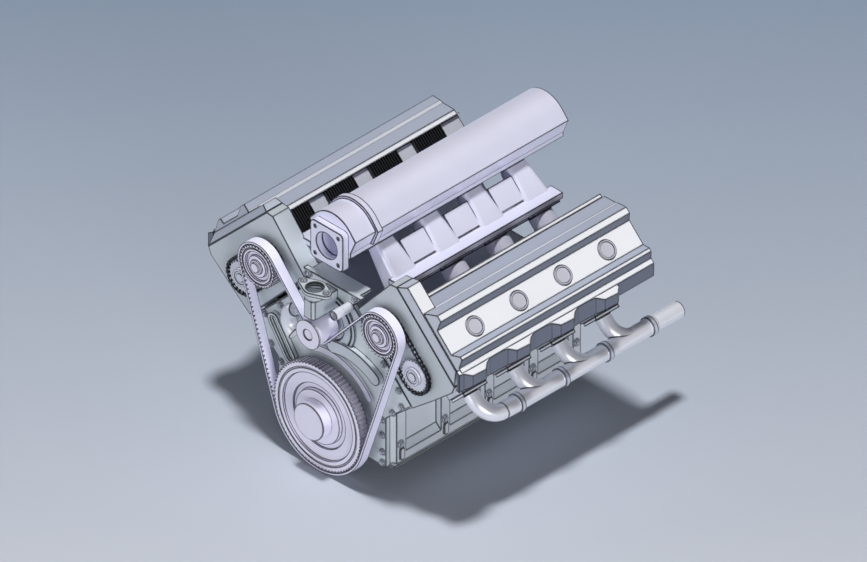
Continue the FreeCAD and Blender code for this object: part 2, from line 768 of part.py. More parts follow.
def lobe(start, angle):
    base = float(dim.camShaftRadius) + 0.4
    lift = float(dim.camLift)
    nose = base * 0.45
    rise = base + lift - nose
    edges = [
        Part.Arc(FreeCAD.Vector(base, 0, 0), FreeCAD.Vector(0, 0, -base), FreeCAD.Vector(-base, 0, 0)).toShape(),
        Part.makeLine(FreeCAD.Vector(-base, 0, 0), FreeCAD.Vector(-nose, 0, rise)),
        Part.Arc(FreeCAD.Vector(-nose, 0, rise), FreeCAD.Vector(0, 0, rise + nose),
                 FreeCAD.Vector(nose, 0, rise)).toShape(),
        Part.makeLine(FreeCAD.Vector(nose, 0, rise), FreeCAD.Vector(base, 0, 0)),
    ]
    face = Part.Face(Part.Wire(edges))
    face.rotate(FreeCAD.Vector(0, 0, 0), FreeCAD.Vector(0, 1, 0), angle)
    face.translate(FreeCAD.Vector(0, float(start), 0))
    return face.extrude(FreeCAD.Vector(0, float(dim.camLobeWidth), 0))


chainBack = dim.chainFront + dim.chainWidth
camEnd = dim.headBack - dim.camRearWall - 4
for side, sign in banks.items():
    for valve, spot in camSpots.items():
        front = 0 if valve == "intake" else dim.chainFront
        pieces = [rod(dim.camShaftRadius, front, camEnd - front)]
        pieces.append(rod(dim.camTunnelRadius - clear, dim.caseFront + 1, dim.headFront - dim.caseFront))
        for k in range(cylindersPerBank):
            bore = firstBore[side] + dim.borePitch * k
            pieces.append(rod(dim.camTunnelRadius - clear, bore - 9, 18))
            turnLobe = pinAngles[k] / 2 + (0 if valve == "intake" else 110)
            for offset in (-32, 18):
                pieces.append(lobe(bore + offset, turnLobe))
        shape = pieces[0].multiFuse(pieces[1:])
        shape.translate(FreeCAD.Vector(float(spot[0]) * sign, 0, float(spot[1])))
        solidNode("%s_camshaft_%s" % (valve, side), shape, lean(sign))

# Toothed wheels.


def toothedDisc(teeth, pitch, below, depth, start, width, sharp=0.0):
    """A disc with straight-sided teeth, evenly spaced at the given pitch."""
    tip = teeth * pitch / (2 * math.pi) - below
    root = tip - depth
    step = 2 * math.pi / teeth
    points = []
    for k in range(teeth):
        for share, radius in ((-0.32, root), (-0.17 + sharp, tip), (0.17 - sharp, tip), (0.32, root)):
            angle = step * (k + share)
            points.append(FreeCAD.Vector(radius * math.sin(angle), float(start), radius * math.cos(angle)))
    return Part.Face(Part.makePolygon(points + points[:1])).extrude(FreeCAD.Vector(0, float(width), 0))


def annulus(inner, outer, start, length):
    return rod(outer, start, length).cut(rod(inner, start - 1, asSize(length) + 2))


def tipRadius(teeth):
    return teeth * dim.toothPitch / (2 * math.pi) - dim.tipBelowPitch


pitch = float(dim.toothPitch)
tipBelow = float(dim.tipBelowPitch)
depth = float(dim.toothDepth)

wheel = toothedDisc(int(float(dim.crankTeeth)), pitch, tipBelow, depth, 0, dim.wheelWidth)
wheelTip = float(tipRadius(dim.crankTeeth))
recesses = [
    annulus(wheelTip - 13, wheelTip - 10.5, -1, 2),
    annulus(wheelTip - 41, wheelTip - 21, -1, 5),
    annulus(wheelTip - 51, wheelTip - 41, -1, 8),
    rod(dim.noseRadius, -1, dim.wheelWidth + 2),
]
wheel = wheel.cut(Part.makeCompound(recesses))
backHub = annulus(dim.noseRadius, dim.collarRadius + 10, dim.wheelWidth, asSize(2))
solidNode("timing_wheel", wheel.fuse(backHub))

hub = cutFrom("NoseHub", cylinder(dim.noseHubRadius, dim.noseHubLength, y=-dim.noseHubLength),
              [cylinder(dim.noseHubRadius * 0.42, 8, y=-dim.noseHubLength - 4)])
keep(hub, "crank_nose_hub")

pulleyTip = float(tipRadius(dim.pulleyTeeth))
for side, sign in banks.items():
    across0 = -float(dim.intakeCamAcross) * sign
    up0 = float(dim.intakeCamHeight)
    pulley = toothedDisc(int(float(dim.pulleyTeeth)), pitch, tipBelow, depth, 0, dim.wheelWidth)
    rings = [
        annulus(pulleyTip - 8, pulleyTip - 6, -1, 2.5),
        annulus(dim.pulleyHubRadius + 7, pulleyTip - 13, -1, 5),
        rod(dim.camShaftRadius, -1, dim.wheelWidth + 2),
    ]
    pulley = pulley.cut(Part.makeCompound(rings))
    pulley = pulley.fuse(annulus(dim.camShaftRadius, dim.pulleyHubRadius, -3, 4))
    pulley = pulley.fuse(rod(dim.pulleyHubRadius - 4, -6, 3))
    pulley.translate(FreeCAD.Vector(across0, 0, up0))
    solidNode("cam_pulley_" + side, pulley, lean(sign))

    for valve, spot in camSpots.items():
        tooth = toothedDisc(int(float(dim.sprocketTeeth)), pitch, 0, 3.2,
                            dim.chainFront + dim.chainPlate + 0.3, dim.chainWidth - dim.chainPlate * 2 - 0.6, 0.09)
        hubFront = dim.wheelWidth + 0.5 if valve == "intake" else dim.chainFront - 3
        sprocket = tooth.fuse(rod(16, hubFront, chainBack - hubFront))
        sprocket = sprocket.cut(rod(dim.camShaftRadius, dim.chainFront, 40))
        if valve == "exhaust":
            sprocket = sprocket.cut(annulus(8, 12, hubFront - 1, 2.2))
        else:
            sprocket = sprocket.cut(rod(dim.camShaftRadius, 0, 60))
        sprocket.translate(FreeCAD.Vector(float(spot[0]) * sign, 0, float(spot[1])))
        solidNode("%s_chain_sprocket_%s" % (valve, side), sprocket, lean(sign))

# Belt and chains: loops drawn through the tangent points of the wheels they run on.


def loopFace(stops, offset):
    """Closed path round the stops (x, z, radius, inside), moved outwards by the offset.

    The stops are listed clockwise seen from the front; a stop that the loop passes with its
    back has inside False.
    """
    count = len(stops)
    spans = []
    for i in range(count):
        x0, z0, r0, in0 = stops[i]
        x1, z1, r1, in1 = stops[(i + 1) % count]
        s0 = r0 if in0 else -r0
        s1 = r1 if in1 else -r1
        dx = x1 - x0
        dz = z1 - z0
        length = math.hypot(dx, dz)
        heading = math.atan2(dz, dx)
        tilt = math.asin((s0 - s1) / length)
        normal = heading + math.pi / 2 - tilt
        out = (math.cos(normal), math.sin(normal))
        spans.append(((x0 + out[0] * (s0 + offset), z0 + out[1] * (s0 + offset)),
                      (x1 + out[0] * (s1 + offset), z1 + out[1] * (s1 + offset))))
    edges = []
    for i in range(count):
        start, end = spans[i]
        edges.append(Part.makeLine(FreeCAD.Vector(start[0], 0, start[1]), FreeCAD.Vector(end[0], 0, end[1])))
        x, z, radius, inside = stops[(i + 1) % count]
        arrive = spans[i][1]
        leave = spans[(i + 1) % count][0]
        reach = radius + offset if inside else radius - offset
        a0 = math.atan2(arrive[1] - z, arrive[0] - x)
        a1 = math.atan2(leave[1] - z, leave[0] - x)
        if inside:
            while a1 > a0:
                a1 -= 2 * math.pi
        else:
            while a1 < a0:
                a1 += 2 * math.pi
        middle = (a0 + a1) / 2
        edges.append(Part.Arc(FreeCAD.Vector(arrive[0], 0, arrive[1]),
                              FreeCAD.Vector(x + reach * math.cos(middle), 0, z + reach * math.sin(middle)),
                              FreeCAD.Vector(leave[0], 0, leave[1])).toShape())
    return Part.Face(Part.Wire(edges))


def loopBand(stops, inner, outer, start, width):
    ringFace = loopFace(stops, float(outer)).extrude(FreeCAD.Vector(0, float(width), 0))
    hole = loopFace(stops, float(inner)).extrude(FreeCAD.Vector(0, float(width) + 2, 0))
    ringFace.translate(FreeCAD.Vector(0, float(start), 0))
    hole.translate(FreeCAD.Vector(0, float(start) - 1, 0))
    return ringFace.cut(hole)


intakeX, intakeZ = (float(value) for value in bank(-dim.intakeCamAcross, dim.intakeCamHeight))
gap = float(dim.beltClearance)
beltStops = [
    (0, 0, wheelTip + gap, True),
    (-intakeX, intakeZ, pulleyTip + gap, True),
    (0, float(dim.drumHeight), float(dim.drumRadius) + gap + float(dim.beltThickness), False),
    (intakeX, intakeZ, pulleyTip + gap, True),
]
solidNode("timing_belt", loopBand(beltStops, 0, dim.beltThickness, 0, dim.wheelWidth))

sprocketTip = float(dim.sprocketTeeth) * pitch / (2 * math.pi)
for side, sign in banks.items():
    stops = [(float(spot[0]) * sign, float(spot[1]), sprocketTip + 0.3, True) for spot in camSpots.values()]
    stops.sort()
    chain = loopBand(stops, 0, dim.chainThickness, dim.chainFront, dim.chainWidth)
    for start in (dim.chainFront, chainBack - dim.chainPlate):
        chain = chain.fuse(loopBand(stops, -dim.chainOverlap, 0.5, start, dim.chainPlate))
    solidNode("cam_chain_" + side, chain, lean(sign))

# Front cover, guides, water pump and outlet.

coverBack = dim.blockFront
coverFace = dim.blockFront - dim.coverPlate
coverShape = newBody("FrontCover")
innerEdge = dim.caseInner + 9
plateOutline = mirroredOutline([
    (dim.blockHalfWidth - 6, -dim.skirtDepth),
    (dim.blockHalfWidth - 6, dim.shoulderHeight - 3),
    bank(dim.deckOuter - 4, dim.deckHeight - 2),
    bank(-innerEdge, dim.deckHeight - 2),
    bank(-innerEdge, dim.deckHeight + 26),
])
prism(coverShape, "XZ_Plane", [plateOutline], coverFace, dim.coverPlate)
prism(coverShape, "XZ_Plane", [ring(0, 0, dim.journalRadius + 1),
                               ring(0, dim.drumHeight, dim.drumShaftRadius + clear)], 0, cut=True)
# A ledge runs back from the top edge over the valley.
ledgeTop = bank(-innerEdge, dim.deckHeight + 26)[1]
prism(coverShape, "XZ_Plane", [rectangle(-dim.ledgeHalf, ledgeTop - 6, dim.ledgeHalf, ledgeTop)],
      coverBack - 1, dim.ledgeDepth + 1)
keep(coverShape, "front_cover")

# Bolt heads follow the plate's outline, set in from its edge.
boltInset = dim.coverBoltRadius + 1
edgeX = dim.blockHalfWidth - 6 - boltInset
boltSpots = [(edgeX, -dim.skirtDepth + boltInset), (edgeX, -dim.skirtDepth / 2), (edgeX, dim.shoulderHeight / 8),
             (edgeX, dim.shoulderHeight - 9), (edgeX / 2, -dim.skirtDepth + boltInset)]
for share in (0.45, 0.85):
    boltSpots.append(between((edgeX, dim.shoulderHeight - 9), bank(dim.deckOuter - 12, dim.deckHeight - 14), share))
for share in (0.1, 0.4, 0.7):
    boltSpots.append(between(bank(dim.deckOuter - 20, dim.deckHeight - 2 - boltInset),
                             bank(-innerEdge + 8, dim.deckHeight - 2 - boltInset), share))
boltSpots.append(bank(-innerEdge - boltInset, dim.deckHeight + 12))
bolts = []
for x, z in boltSpots:
    for signX in (1, -1):
        bolts.append(cylinder(dim.coverBoltRadius, dim.coverBoltHead, x=signX * x, y=coverFace - dim.coverBoltHead,
                              z=z))
keep(fused("FrontBolts", bolts), "front_cover_bolts")

# The pump's volute is a shallow stepped drum on the cover, behind the idler drum.
pumpDepth = coverFace - (dim.wheelWidth + 8)
pump = newBody("PumpHousing")
prism(pump, "XZ_Plane", [ring(0, dim.drumHeight, dim.pumpRadius)], coverFace - pumpDepth + 2, pumpDepth - 2)
prism(pump, "XZ_Plane", [ring(0, dim.drumHeight, dim.pumpRadius - dim.pumpRim),
                         ring(0, dim.drumHeight, dim.drumRadius + 9)], coverFace - pumpDepth, 4)
prism(pump, "XZ_Plane", [ring(0, dim.drumHeight, dim.drumShaftRadius + clear)], 0, cut=True)
keep(pump, "water_pump_housing")

drumLength = dim.wheelWidth + dim.drumFront + 6
drumAt = dict(x=0, z=dim.drumHeight)
drum = fused("DrumBody", [
    cylinder(dim.drumFlangeRadius, 3, y=-dim.drumFront, **drumAt),
    cylinder(dim.drumRadius, drumLength, y=-dim.drumFront, **drumAt),
    cylinder(dim.drumShaftRadius, dim.blockFront + dim.drumFront - 1, y=-dim.drumFront, **drumAt),
])
keep(cutFrom("Drum", drum, [cylinder(10, 3, y=-dim.drumFront - 1, **drumAt)]), "water_pump_drum")

outlet = newBody("WaterOutlet")
outletY = -dim.outletSetForward
boltHalf = dim.outletBoltSpan / 2
halfY = dim.outletNeckHalf - 1
hexagon = [(boltHalf - 8, outletY - halfY), (boltHalf + 8, outletY - 8), (boltHalf + 8, outletY + 8),
           (boltHalf - 8, outletY + halfY), (-boltHalf + 8, outletY + halfY), (-boltHalf - 8, outletY + 8),
           (-boltHalf - 8, outletY - 8), (-boltHalf + 8, outletY - halfY)]
prism(outlet, "XY_Plane", [hexagon], dim.outletHeight - dim.outletFlange, dim.outletFlange)
neckLow = dim.drumHeight + dim.drumFlangeRadius + 6
pumpFront = coverFace - pumpDepth
pumpTop = dim.drumHeight + dim.pumpRadius + 1
neck = [(outletY - halfY + 2, neckLow + 22), (outletY + 6, neckLow), (pumpFront, neckLow), (pumpFront, pumpTop),
        (coverFace, pumpTop), (coverFace, dim.outletHeight - dim.outletFlange),
        (outletY - halfY + 2, dim.outletHeight - dim.outletFlange)]
prism(outlet, "YZ_Plane", [neck], -dim.outletNeckSide, dim.outletNeckSide * 2)
prism(outlet, "XY_Plane", [rectangle(-dim.outletNeckSide + 4, outletY - 9, dim.outletNeckSide - 4, outletY + 9)],
      dim.outletHeight - 26, 27, cut=True)
prism(outlet, "XY_Plane", [ring(boltHalf, outletY, 3.3), ring(-boltHalf, outletY, 3.3)],
      dim.outletHeight - dim.outletFlange - 1, dim.outletFlange + 2, cut=True)
keep(outlet, "thermostat_housing")

# Slotted guide beside the left strand: a bar with rounded ends that leans in towards the wheel.


def pillShape(ends, half, start, depth):
    """A straight bar with round ends between two points (x, z)."""
    (x0, z0), (x1, z1) = [(float(x), float(z)) for x, z in ends]
    length = math.hypot(x1 - x0, z1 - z0)
    side = FreeCAD.Vector(-(z1 - z0) / length * half, 0, (x1 - x0) / length * half)
    first = FreeCAD.Vector(x0, float(start), z0)
    last = FreeCAD.Vector(x1, float(start), z1)
    corners = [first + side, last + side, last - side, first - side, first + side]
    shape = Part.Face(Part.makePolygon(corners)).extrude(FreeCAD.Vector(0, float(depth), 0))
    for x, z in ((x0, z0), (x1, z1)):
        shape = shape.fuse(rod(half, start, depth, x, z))
    return shape.removeSplitter()


guideEnds = [(-128, 118), (-90, 62)]
guideFront = coverFace - dim.guideDepth
guideHalf = float(dim.guideWidth) / 2
guide = pillShape(guideEnds, guideHalf, guideFront, dim.guideDepth)
guide = guide.cut(pillShape(guideEnds, float(dim.slotWidth) / 2, guideFront - 1, 7))
solidNode("belt_guide_left", guide)


def arcBand(points, half, start, depth):
    """A bar with round ends along the arc through three points (x, z)."""
    first, middle, last = [FreeCAD.Vector(float(x), 0, float(z)) for x, z in points]
    circle = Part.Arc(first, middle, last).toShape().Curve
    centre = circle.Center
    edges = []
    for radius in (circle.Radius - half, circle.Radius + half):
        ends = [centre + (point - centre).normalize() * radius for point in (first, middle, last)]
        edges.append(Part.Arc(*ends).toShape())
        edges.append(ends)
    near, nearEnds, far, farEnds = edges
    wire = Part.Wire(Part.__sortEdges__([near, Part.makeLine(nearEnds[2], farEnds[2]), far,
                                         Part.makeLine(farEnds[0], nearEnds[0])]))
    shape = Part.Face(wire).extrude(FreeCAD.Vector(0, float(depth), 0))
    shape.translate(FreeCAD.Vector(0, float(start), 0))
    for point in (first, last):
        shape = shape.fuse(rod(half, start, depth, point.x, point.z))
    return shape.removeSplitter()


def polar(radius, angle):
    turn = math.radians(angle)
    return (float(radius) * math.cos(turn), float(radius) * math.sin(turn))


# A raised rail follows the top of the timing wheel; a curved arm lies above it, behind the belt.
railMiddle = wheelTip + float(dim.railGap) + float(dim.railBand) / 2
solidNode("belt_guide_right", arcBand([polar(railMiddle, angle) for angle in (112, 74, 36)],
                                      float(dim.railBand) / 2, coverFace - 6, 6))
arm = arcBand([(10, 134), (57, 137), (107, 117)], float(dim.armHalf), coverFace - dim.armDepth, dim.armDepth)
solidNode("tensioner_arm", arm.cut(rod(dim.pumpRadius + 0.3, coverFace - pumpDepth, pumpDepth, 0, dim.drumHeight)))

# A short pipe comes forward beside the outlet, and an elbow turns down beside the drum.
stubX = dim.drumFlangeRadius + 15
stubZ = dim.drumHeight + 50
stub = cutFrom("CoolantStub", cylinder(dim.stubPipeRadius, dim.stubPipeReach, x=stubX,
                                       y=coverFace - dim.stubPipeReach, z=stubZ),
               [cylinder(dim.stubPipeRadius - 2, 20, x=stubX, y=coverFace - dim.stubPipeReach - 1, z=stubZ)])
keep(stub, "coolant_stub")

elbow = doc.addObject("Part::Torus", "CoolantElbow")
bind(elbow, "Radius1", dim.elbowBend)
bind(elbow, "Radius2", dim.elbowRadius)
elbow.Angle3 = 130
elbow.Placement = FreeCAD.Placement(FreeCAD.Vector(0, 0, 0), FreeCAD.Rotation(FreeCAD.Vector(1, 0, 0), 90))
elbow.Placement = elbow.Placement.multiply(
    FreeCAD.Placement(FreeCAD.Vector(0, 0, 0), FreeCAD.Rotation(FreeCAD.Vector(0, 0, 1), 115)))
bind(elbow, "Placement.Base.x", -dim.pumpRadius - 8)
bind(elbow, "Placement.Base.y", coverFace - dim.elbowRadius + 3)
bind(elbow, "Placement.Base.z", dim.drumHeight - 33)
half = dim.elbowBend + dim.elbowRadius + 1
behind = box(-dim.pumpRadius - 8 - half, coverFace, dim.drumHeight - 33 - half, half * 2, 20, half * 2)
keep(cutFrom("Elbow", elbow, [behind]), "coolant_elbow")

# Plenum, throttle and runners.

plenum = newBody("Plenum")
domeHalf = dim.plenumHalf - 1
keelHalf = (dim.runnerHeight - 16 - dim.runnerTop) * slope
keelHeight = (dim.runnerHeight - 16 + dim.runnerTop) * slope
sideHeight = keelHeight + dim.plenumHalf - keelHalf
plenumOutline = [(keelHalf, keelHeight), (dim.plenumHalf, sideHeight), (dim.plenumHalf, dim.plenumWaist),
                 (dim.plenumShoulderHalf, dim.plenumShoulder), (domeHalf, dim.plenumTop, dim.plenumDome),
                 (-domeHalf, dim.plenumTop), (-dim.plenumShoulderHalf, dim.plenumShoulder),
                 (-dim.plenumHalf, dim.plenumWaist), (-dim.plenumHalf, sideHeight), (-keelHalf, keelHeight)]
prism(plenum, "XZ_Plane", [plenumOutline], dim.plenumFront, dim.plenumBack - dim.plenumFront)
bandOutline = [(dim.plenumHalf + dim.adaptorProud, dim.plenumWaist - 2),
               (dim.plenumShoulderHalf + dim.adaptorProud, dim.plenumShoulder),
               (domeHalf + 2, dim.plenumTop + dim.adaptorProud, dim.plenumDome + dim.adaptorProud),
               (-domeHalf - 2, dim.plenumTop + dim.adaptorProud),
               (-dim.plenumShoulderHalf - dim.adaptorProud, dim.plenumShoulder),
               (-dim.plenumHalf - dim.adaptorProud, dim.plenumWaist - 2)]
prism(plenum, "XZ_Plane", [bandOutline], dim.adaptorBack - 6, 12)
prism(plenum, "XZ_Plane", [ring(0, dim.throttleHeight, dim.throttleBore)], dim.plenumFront - 1, 70, cut=True)
prism(plenum, "YZ_Plane", [ring(dim.throttlePlateAt, dim.throttleHeight, dim.throttleShaftRadius + clear)],
      -(dim.plenumHalf - 3), (dim.plenumHalf - 3) * 2, cut=True)
keep(plenum, "intake_plenum")

flange = newBody("ThrottleFlange")
flangeHalf = dim.throttleFlange / 2
plateFront = dim.plenumFront - dim.throttleFlangeWidth
block0 = prism(flange, "XZ_Plane", [rectangle(-flangeHalf, dim.throttleHeight - flangeHalf, flangeHalf,
                                              dim.throttleHeight + flangeHalf)], plateFront,
               dim.throttleFlangeWidth)
doc.recompute()
cornerEdges = []
for number, edge in enumerate(block0.Shape.Edges, 1):
    along = edge.Vertexes[0].Point - edge.Vertexes[-1].Point
    if abs(along.x) < 0.01 and abs(along.z) < 0.01:
        cornerEdges.append("Edge%d" % number)
rounded = flange.newObject("PartDesign::Fillet", "FlangeCorners")
rounded.Base = (block0, cornerEdges)
bind(rounded, "Radius", dim.throttleCorner)
flange.Tip = rounded
boltAt = dim.throttleBoltSpan / 2
flangeHoles = [ring(0, dim.throttleHeight, dim.throttleBore)]
for signX in (1, -1):
    for signZ in (1, -1):
        flangeHoles.append(ring(boltAt * signX, dim.throttleHeight + boltAt * signZ, dim.throttleBoltRadius))
prism(flange, "XZ_Plane", flangeHoles, plateFront - 1, dim.throttleFlangeWidth + 2, cut=True)
keep(flange, "throttle_flange")

butterfly = fused("Butterfly", [
    cylinder(dim.throttleBore - dim.throttleGap, dim.throttlePlateThickness,
             y=dim.throttlePlateAt - dim.throttlePlateThickness / 2, z=dim.throttleHeight),
    cylinder(dim.throttleShaftRadius, (dim.plenumHalf - 4) * 2, x=-(dim.plenumHalf - 4),
             y=dim.throttlePlateAt, z=dim.throttleHeight, along="X"),
])
keep(butterfly, "throttle_plate")

railOuter = dim.railInner - dim.railThickness
for side, sign in banks.items():
    title = side.title()
    place = lean(sign)
    rail = newBody("IntakeRail" + title)
    start = firstBore[side] - dim.railReach
    total = dim.borePitch * (cylindersPerBank - 1) + dim.railReach * 2
    prism(rail, "XZ_Plane", [across(side, rectangle(-dim.railInner, dim.railLow, -railOuter, dim.railHigh))],
          start, total)
    notchY = firstBore[side] + dim.railReach + 2
    notchLength = dim.borePitch - dim.railReach * 2 - 4
    for low, high in ((dim.railLow - 1, dim.railLow + 14), (dim.railHigh - 14, dim.railHigh + 1)):
        prism(rail, "XZ_Plane", [across(side, rectangle(-dim.railInner - 1, low, -railOuter + 1, high))],
              notchY, notchLength, cut=True, count=cylindersPerBank - 1, step=dim.borePitch)
    stubStart = -railOuter if sign == 1 else dim.headInner
    prism(rail, "YZ_Plane", [ring(firstBore[side], dim.runnerHeight, dim.stubRadius)],
          stubStart, railOuter - dim.headInner, count=cylindersPerBank, step=dim.borePitch)
    keep(rail, "intake_rail_" + side, place)

    runners = newBody("Runners" + title)
    loft = runners.newObject("PartDesign::AdditiveLoft", "Runner" + title)
    sections = []
    for width, height, x in ((dim.runnerWidthTop, dim.runnerDepthTop, dim.runnerTop),
                             (dim.runnerWidthFoot, dim.runnerDepthFoot, dim.railInner)):
        middle = firstBore[side]
        corner = asSize(8)
        low = dim.runnerHeight - height / 2
        high = dim.runnerHeight + height / 2
        near = middle - width / 2
        far = middle + width / 2
        outline = [(near + corner, low), (far - corner, low, corner), (far, low + corner),
                   (far, high - corner, corner), (far - corner, high), (near + corner, high, corner),
                   (near, high - corner), (near, low + corner, corner)]
        sections.append(sketchOn(runners, "YZ_Plane", [outline], -x * sign))
    loft.Profile = sections[0]
    loft.Sections = sections[1:]
    loft.Ruled = True
    runners.Tip = loft
    doc.recompute()
    copies = []
    for k in range(cylindersPerBank):
        copy = runners.Shape.copy()
        copy.translate(FreeCAD.Vector(0, float(dim.borePitch) * k, 0))
        copies.append(copy)
    solidNode("intake_runners_" + side, Part.makeCompound(copies), place)

# Exhaust, each bank: four flange plates, four bent primaries seated on one log pipe, and band clamps. The
# log ends in a spigot, a little thinner than the pipe, where the next one is pushed on.

for side, sign in banks.items():
    portFace = dim.headOuter + dim.portBoss
    bendStart = dim.logAcross - dim.bendRadius
    logStart = firstBore[side] + dim.bendRadius
    spigotStart = logStart + dim.borePitch * (cylindersPerBank - 1 + 0.28) + dim.clampWidth
    spot = dict(x=dim.logAcross, z=dim.exhaustHeight)
    pipe = fused("Log" + side.title(), [
        cylinder(dim.pipeRadius, spigotStart - logStart, y=logStart, **spot),
        cylinder(dim.spigotRadius, dim.logBack - spigotStart, y=spigotStart, **spot)])
    solids = [cutFrom("LogOpen" + side.title(), pipe, [cylinder(dim.pipeBore, 61, y=dim.logBack - 60, **spot)])]
    for k in range(cylindersPerBank):
        port = firstBore[side] + dim.borePitch * k
        pipeFace = portFace + dim.portFlange
        straight = cylinder(dim.primaryRadius, bendStart - pipeFace, x=pipeFace, y=port,
                            z=dim.exhaustHeight, along="X")
        bend = doc.addObject("Part::Torus", "Bend")
        bind(bend, "Radius1", dim.bendRadius)
        bind(bend, "Radius2", dim.primaryRadius)
        bend.Angle3 = 90
        bend.Placement = FreeCAD.Placement(FreeCAD.Vector(0, 0, 0), FreeCAD.Rotation(FreeCAD.Vector(0, 0, 1), -90))
        bind(bend, "Placement.Base.x", bendStart)
        bind(bend, "Placement.Base.y", port + dim.bendRadius)
        bind(bend, "Placement.Base.z", dim.exhaustHeight)
        primary = fused("Primary", [straight, bend])
        seat = cylinder(dim.pipeRadius, spigotStart - logStart, y=logStart, **spot)
        solids.append(cutFrom("PrimarySeated", primary, [seat]))
        solids.append(box(portFace, port - dim.portFlangeHalf, dim.exhaustHeight - 20,
                          dim.portFlange, dim.portFlangeHalf * 2, 38))
    manifold = doc.addObject("Part::Compound", "Manifold" + side.title())
    manifold.Links = solids
    if side == "left":
        other = doc.addObject("Part::Mirroring", "ManifoldMirror")
        other.Source = manifold
        other.Base = FreeCAD.Vector(0, 0, 0)
        other.Normal = FreeCAD.Vector(1, 0, 0)
        manifold = other
    keep(manifold, "exhaust_manifold_" + side, lean(sign))
    bands = []
    for k in range(cylindersPerBank):
        bandAt = firstBore[side] + dim.borePitch * k + dim.bendRadius + dim.borePitch * 0.28
        bands.append(annulus(dim.pipeRadius, dim.clampRadius, bandAt, dim.clampWidth))
    shape = Part.makeCompound(bands)
    shape.translate(FreeCAD.Vector(float(dim.logAcross) * sign, 0, float(dim.exhaustHeight)))
    solidNode("exhaust_clamps_" + side, shape, lean(sign))

# Rear seal housing and the cross bolts of the main bearings.

seal = newBody("RearSealHousing")
prism(seal, "XZ_Plane", [ring(0, 0, dim.sealRadius), ring(0, 0, dim.journalRadius + 0.5)],
      sealFront, sealDepth)
keep(seal, "rear_seal_housing")

# The cross bolts stand above the oval bosses, on both the rib and the bearing web behind it.
crossBolts = []
crossBoltHeight = bossLow + dim.ovalBossHalf * 4 + 8
for k in range(cylindersPerBank + 1):
    for signX in (1, -1):
        start = dim.blockHalfWidth if signX == 1 else -dim.blockHalfWidth - 5
        crossBolts.append(cylinder(6.5, 5, x=start, y=dim.firstMain + dim.borePitch * k + dim.ribShift / 2,
                                   z=crossBoltHeight, along="X"))
keep(fused("CrossBolts", crossBolts), "main_cross_bolts")

doc.recompute()

for thing in doc.Objects:
    if "Invalid" in thing.State or "Error" in thing.State:
        raise RuntimeError("%s did not recompute: %s" % (thing.Label, thing.State))
os.makedirs("parts", exist_ok=True)
labels = [thing.Label for thing in nodes]
if len(set(labels)) != len(labels) or len(labels) > 60:
    raise RuntimeError("each sub-part needs a label of its own, at most 60 in all")
for thing in nodes:
    if thing.Shape.isNull() or not thing.Shape.isValid():
        raise RuntimeError("%s has no valid shape" % thing.Label)
    thing.Shape.exportStep("parts/%s.step" % thing.Label)
    bounds = thing.Shape.BoundBox
    print("%-28s %2d solids %9.0f mm3  X %7.1f %7.1f  Y %7.1f %7.1f  Z %7.1f %7.1f" % (
        thing.Label, len(thing.Shape.Solids), thing.Shape.Volume, bounds.XMin, bounds.XMax,
        bounds.YMin, bounds.YMax, bounds.ZMin, bounds.ZMax))
print(len(labels), "sub-parts")
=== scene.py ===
import json
import math

import bpy
import numpy as np
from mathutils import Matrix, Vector


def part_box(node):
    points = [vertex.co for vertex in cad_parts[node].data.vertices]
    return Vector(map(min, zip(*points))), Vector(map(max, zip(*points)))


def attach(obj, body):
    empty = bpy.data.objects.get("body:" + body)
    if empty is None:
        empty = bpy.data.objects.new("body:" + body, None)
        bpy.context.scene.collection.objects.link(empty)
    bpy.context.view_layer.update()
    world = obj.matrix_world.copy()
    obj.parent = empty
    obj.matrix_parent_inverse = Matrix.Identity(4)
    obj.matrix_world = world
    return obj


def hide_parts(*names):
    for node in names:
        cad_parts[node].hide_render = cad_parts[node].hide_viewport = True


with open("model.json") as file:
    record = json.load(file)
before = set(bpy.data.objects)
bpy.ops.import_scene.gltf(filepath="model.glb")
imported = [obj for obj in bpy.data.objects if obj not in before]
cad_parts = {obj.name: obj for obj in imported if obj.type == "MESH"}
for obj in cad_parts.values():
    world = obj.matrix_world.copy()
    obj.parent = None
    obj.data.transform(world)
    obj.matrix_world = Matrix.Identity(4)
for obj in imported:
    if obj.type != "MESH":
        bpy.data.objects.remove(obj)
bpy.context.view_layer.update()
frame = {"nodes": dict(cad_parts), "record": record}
nodes = frame["nodes"]
banks = {"right": 1, "left": -1}
print("loaded", len(nodes), "nodes")
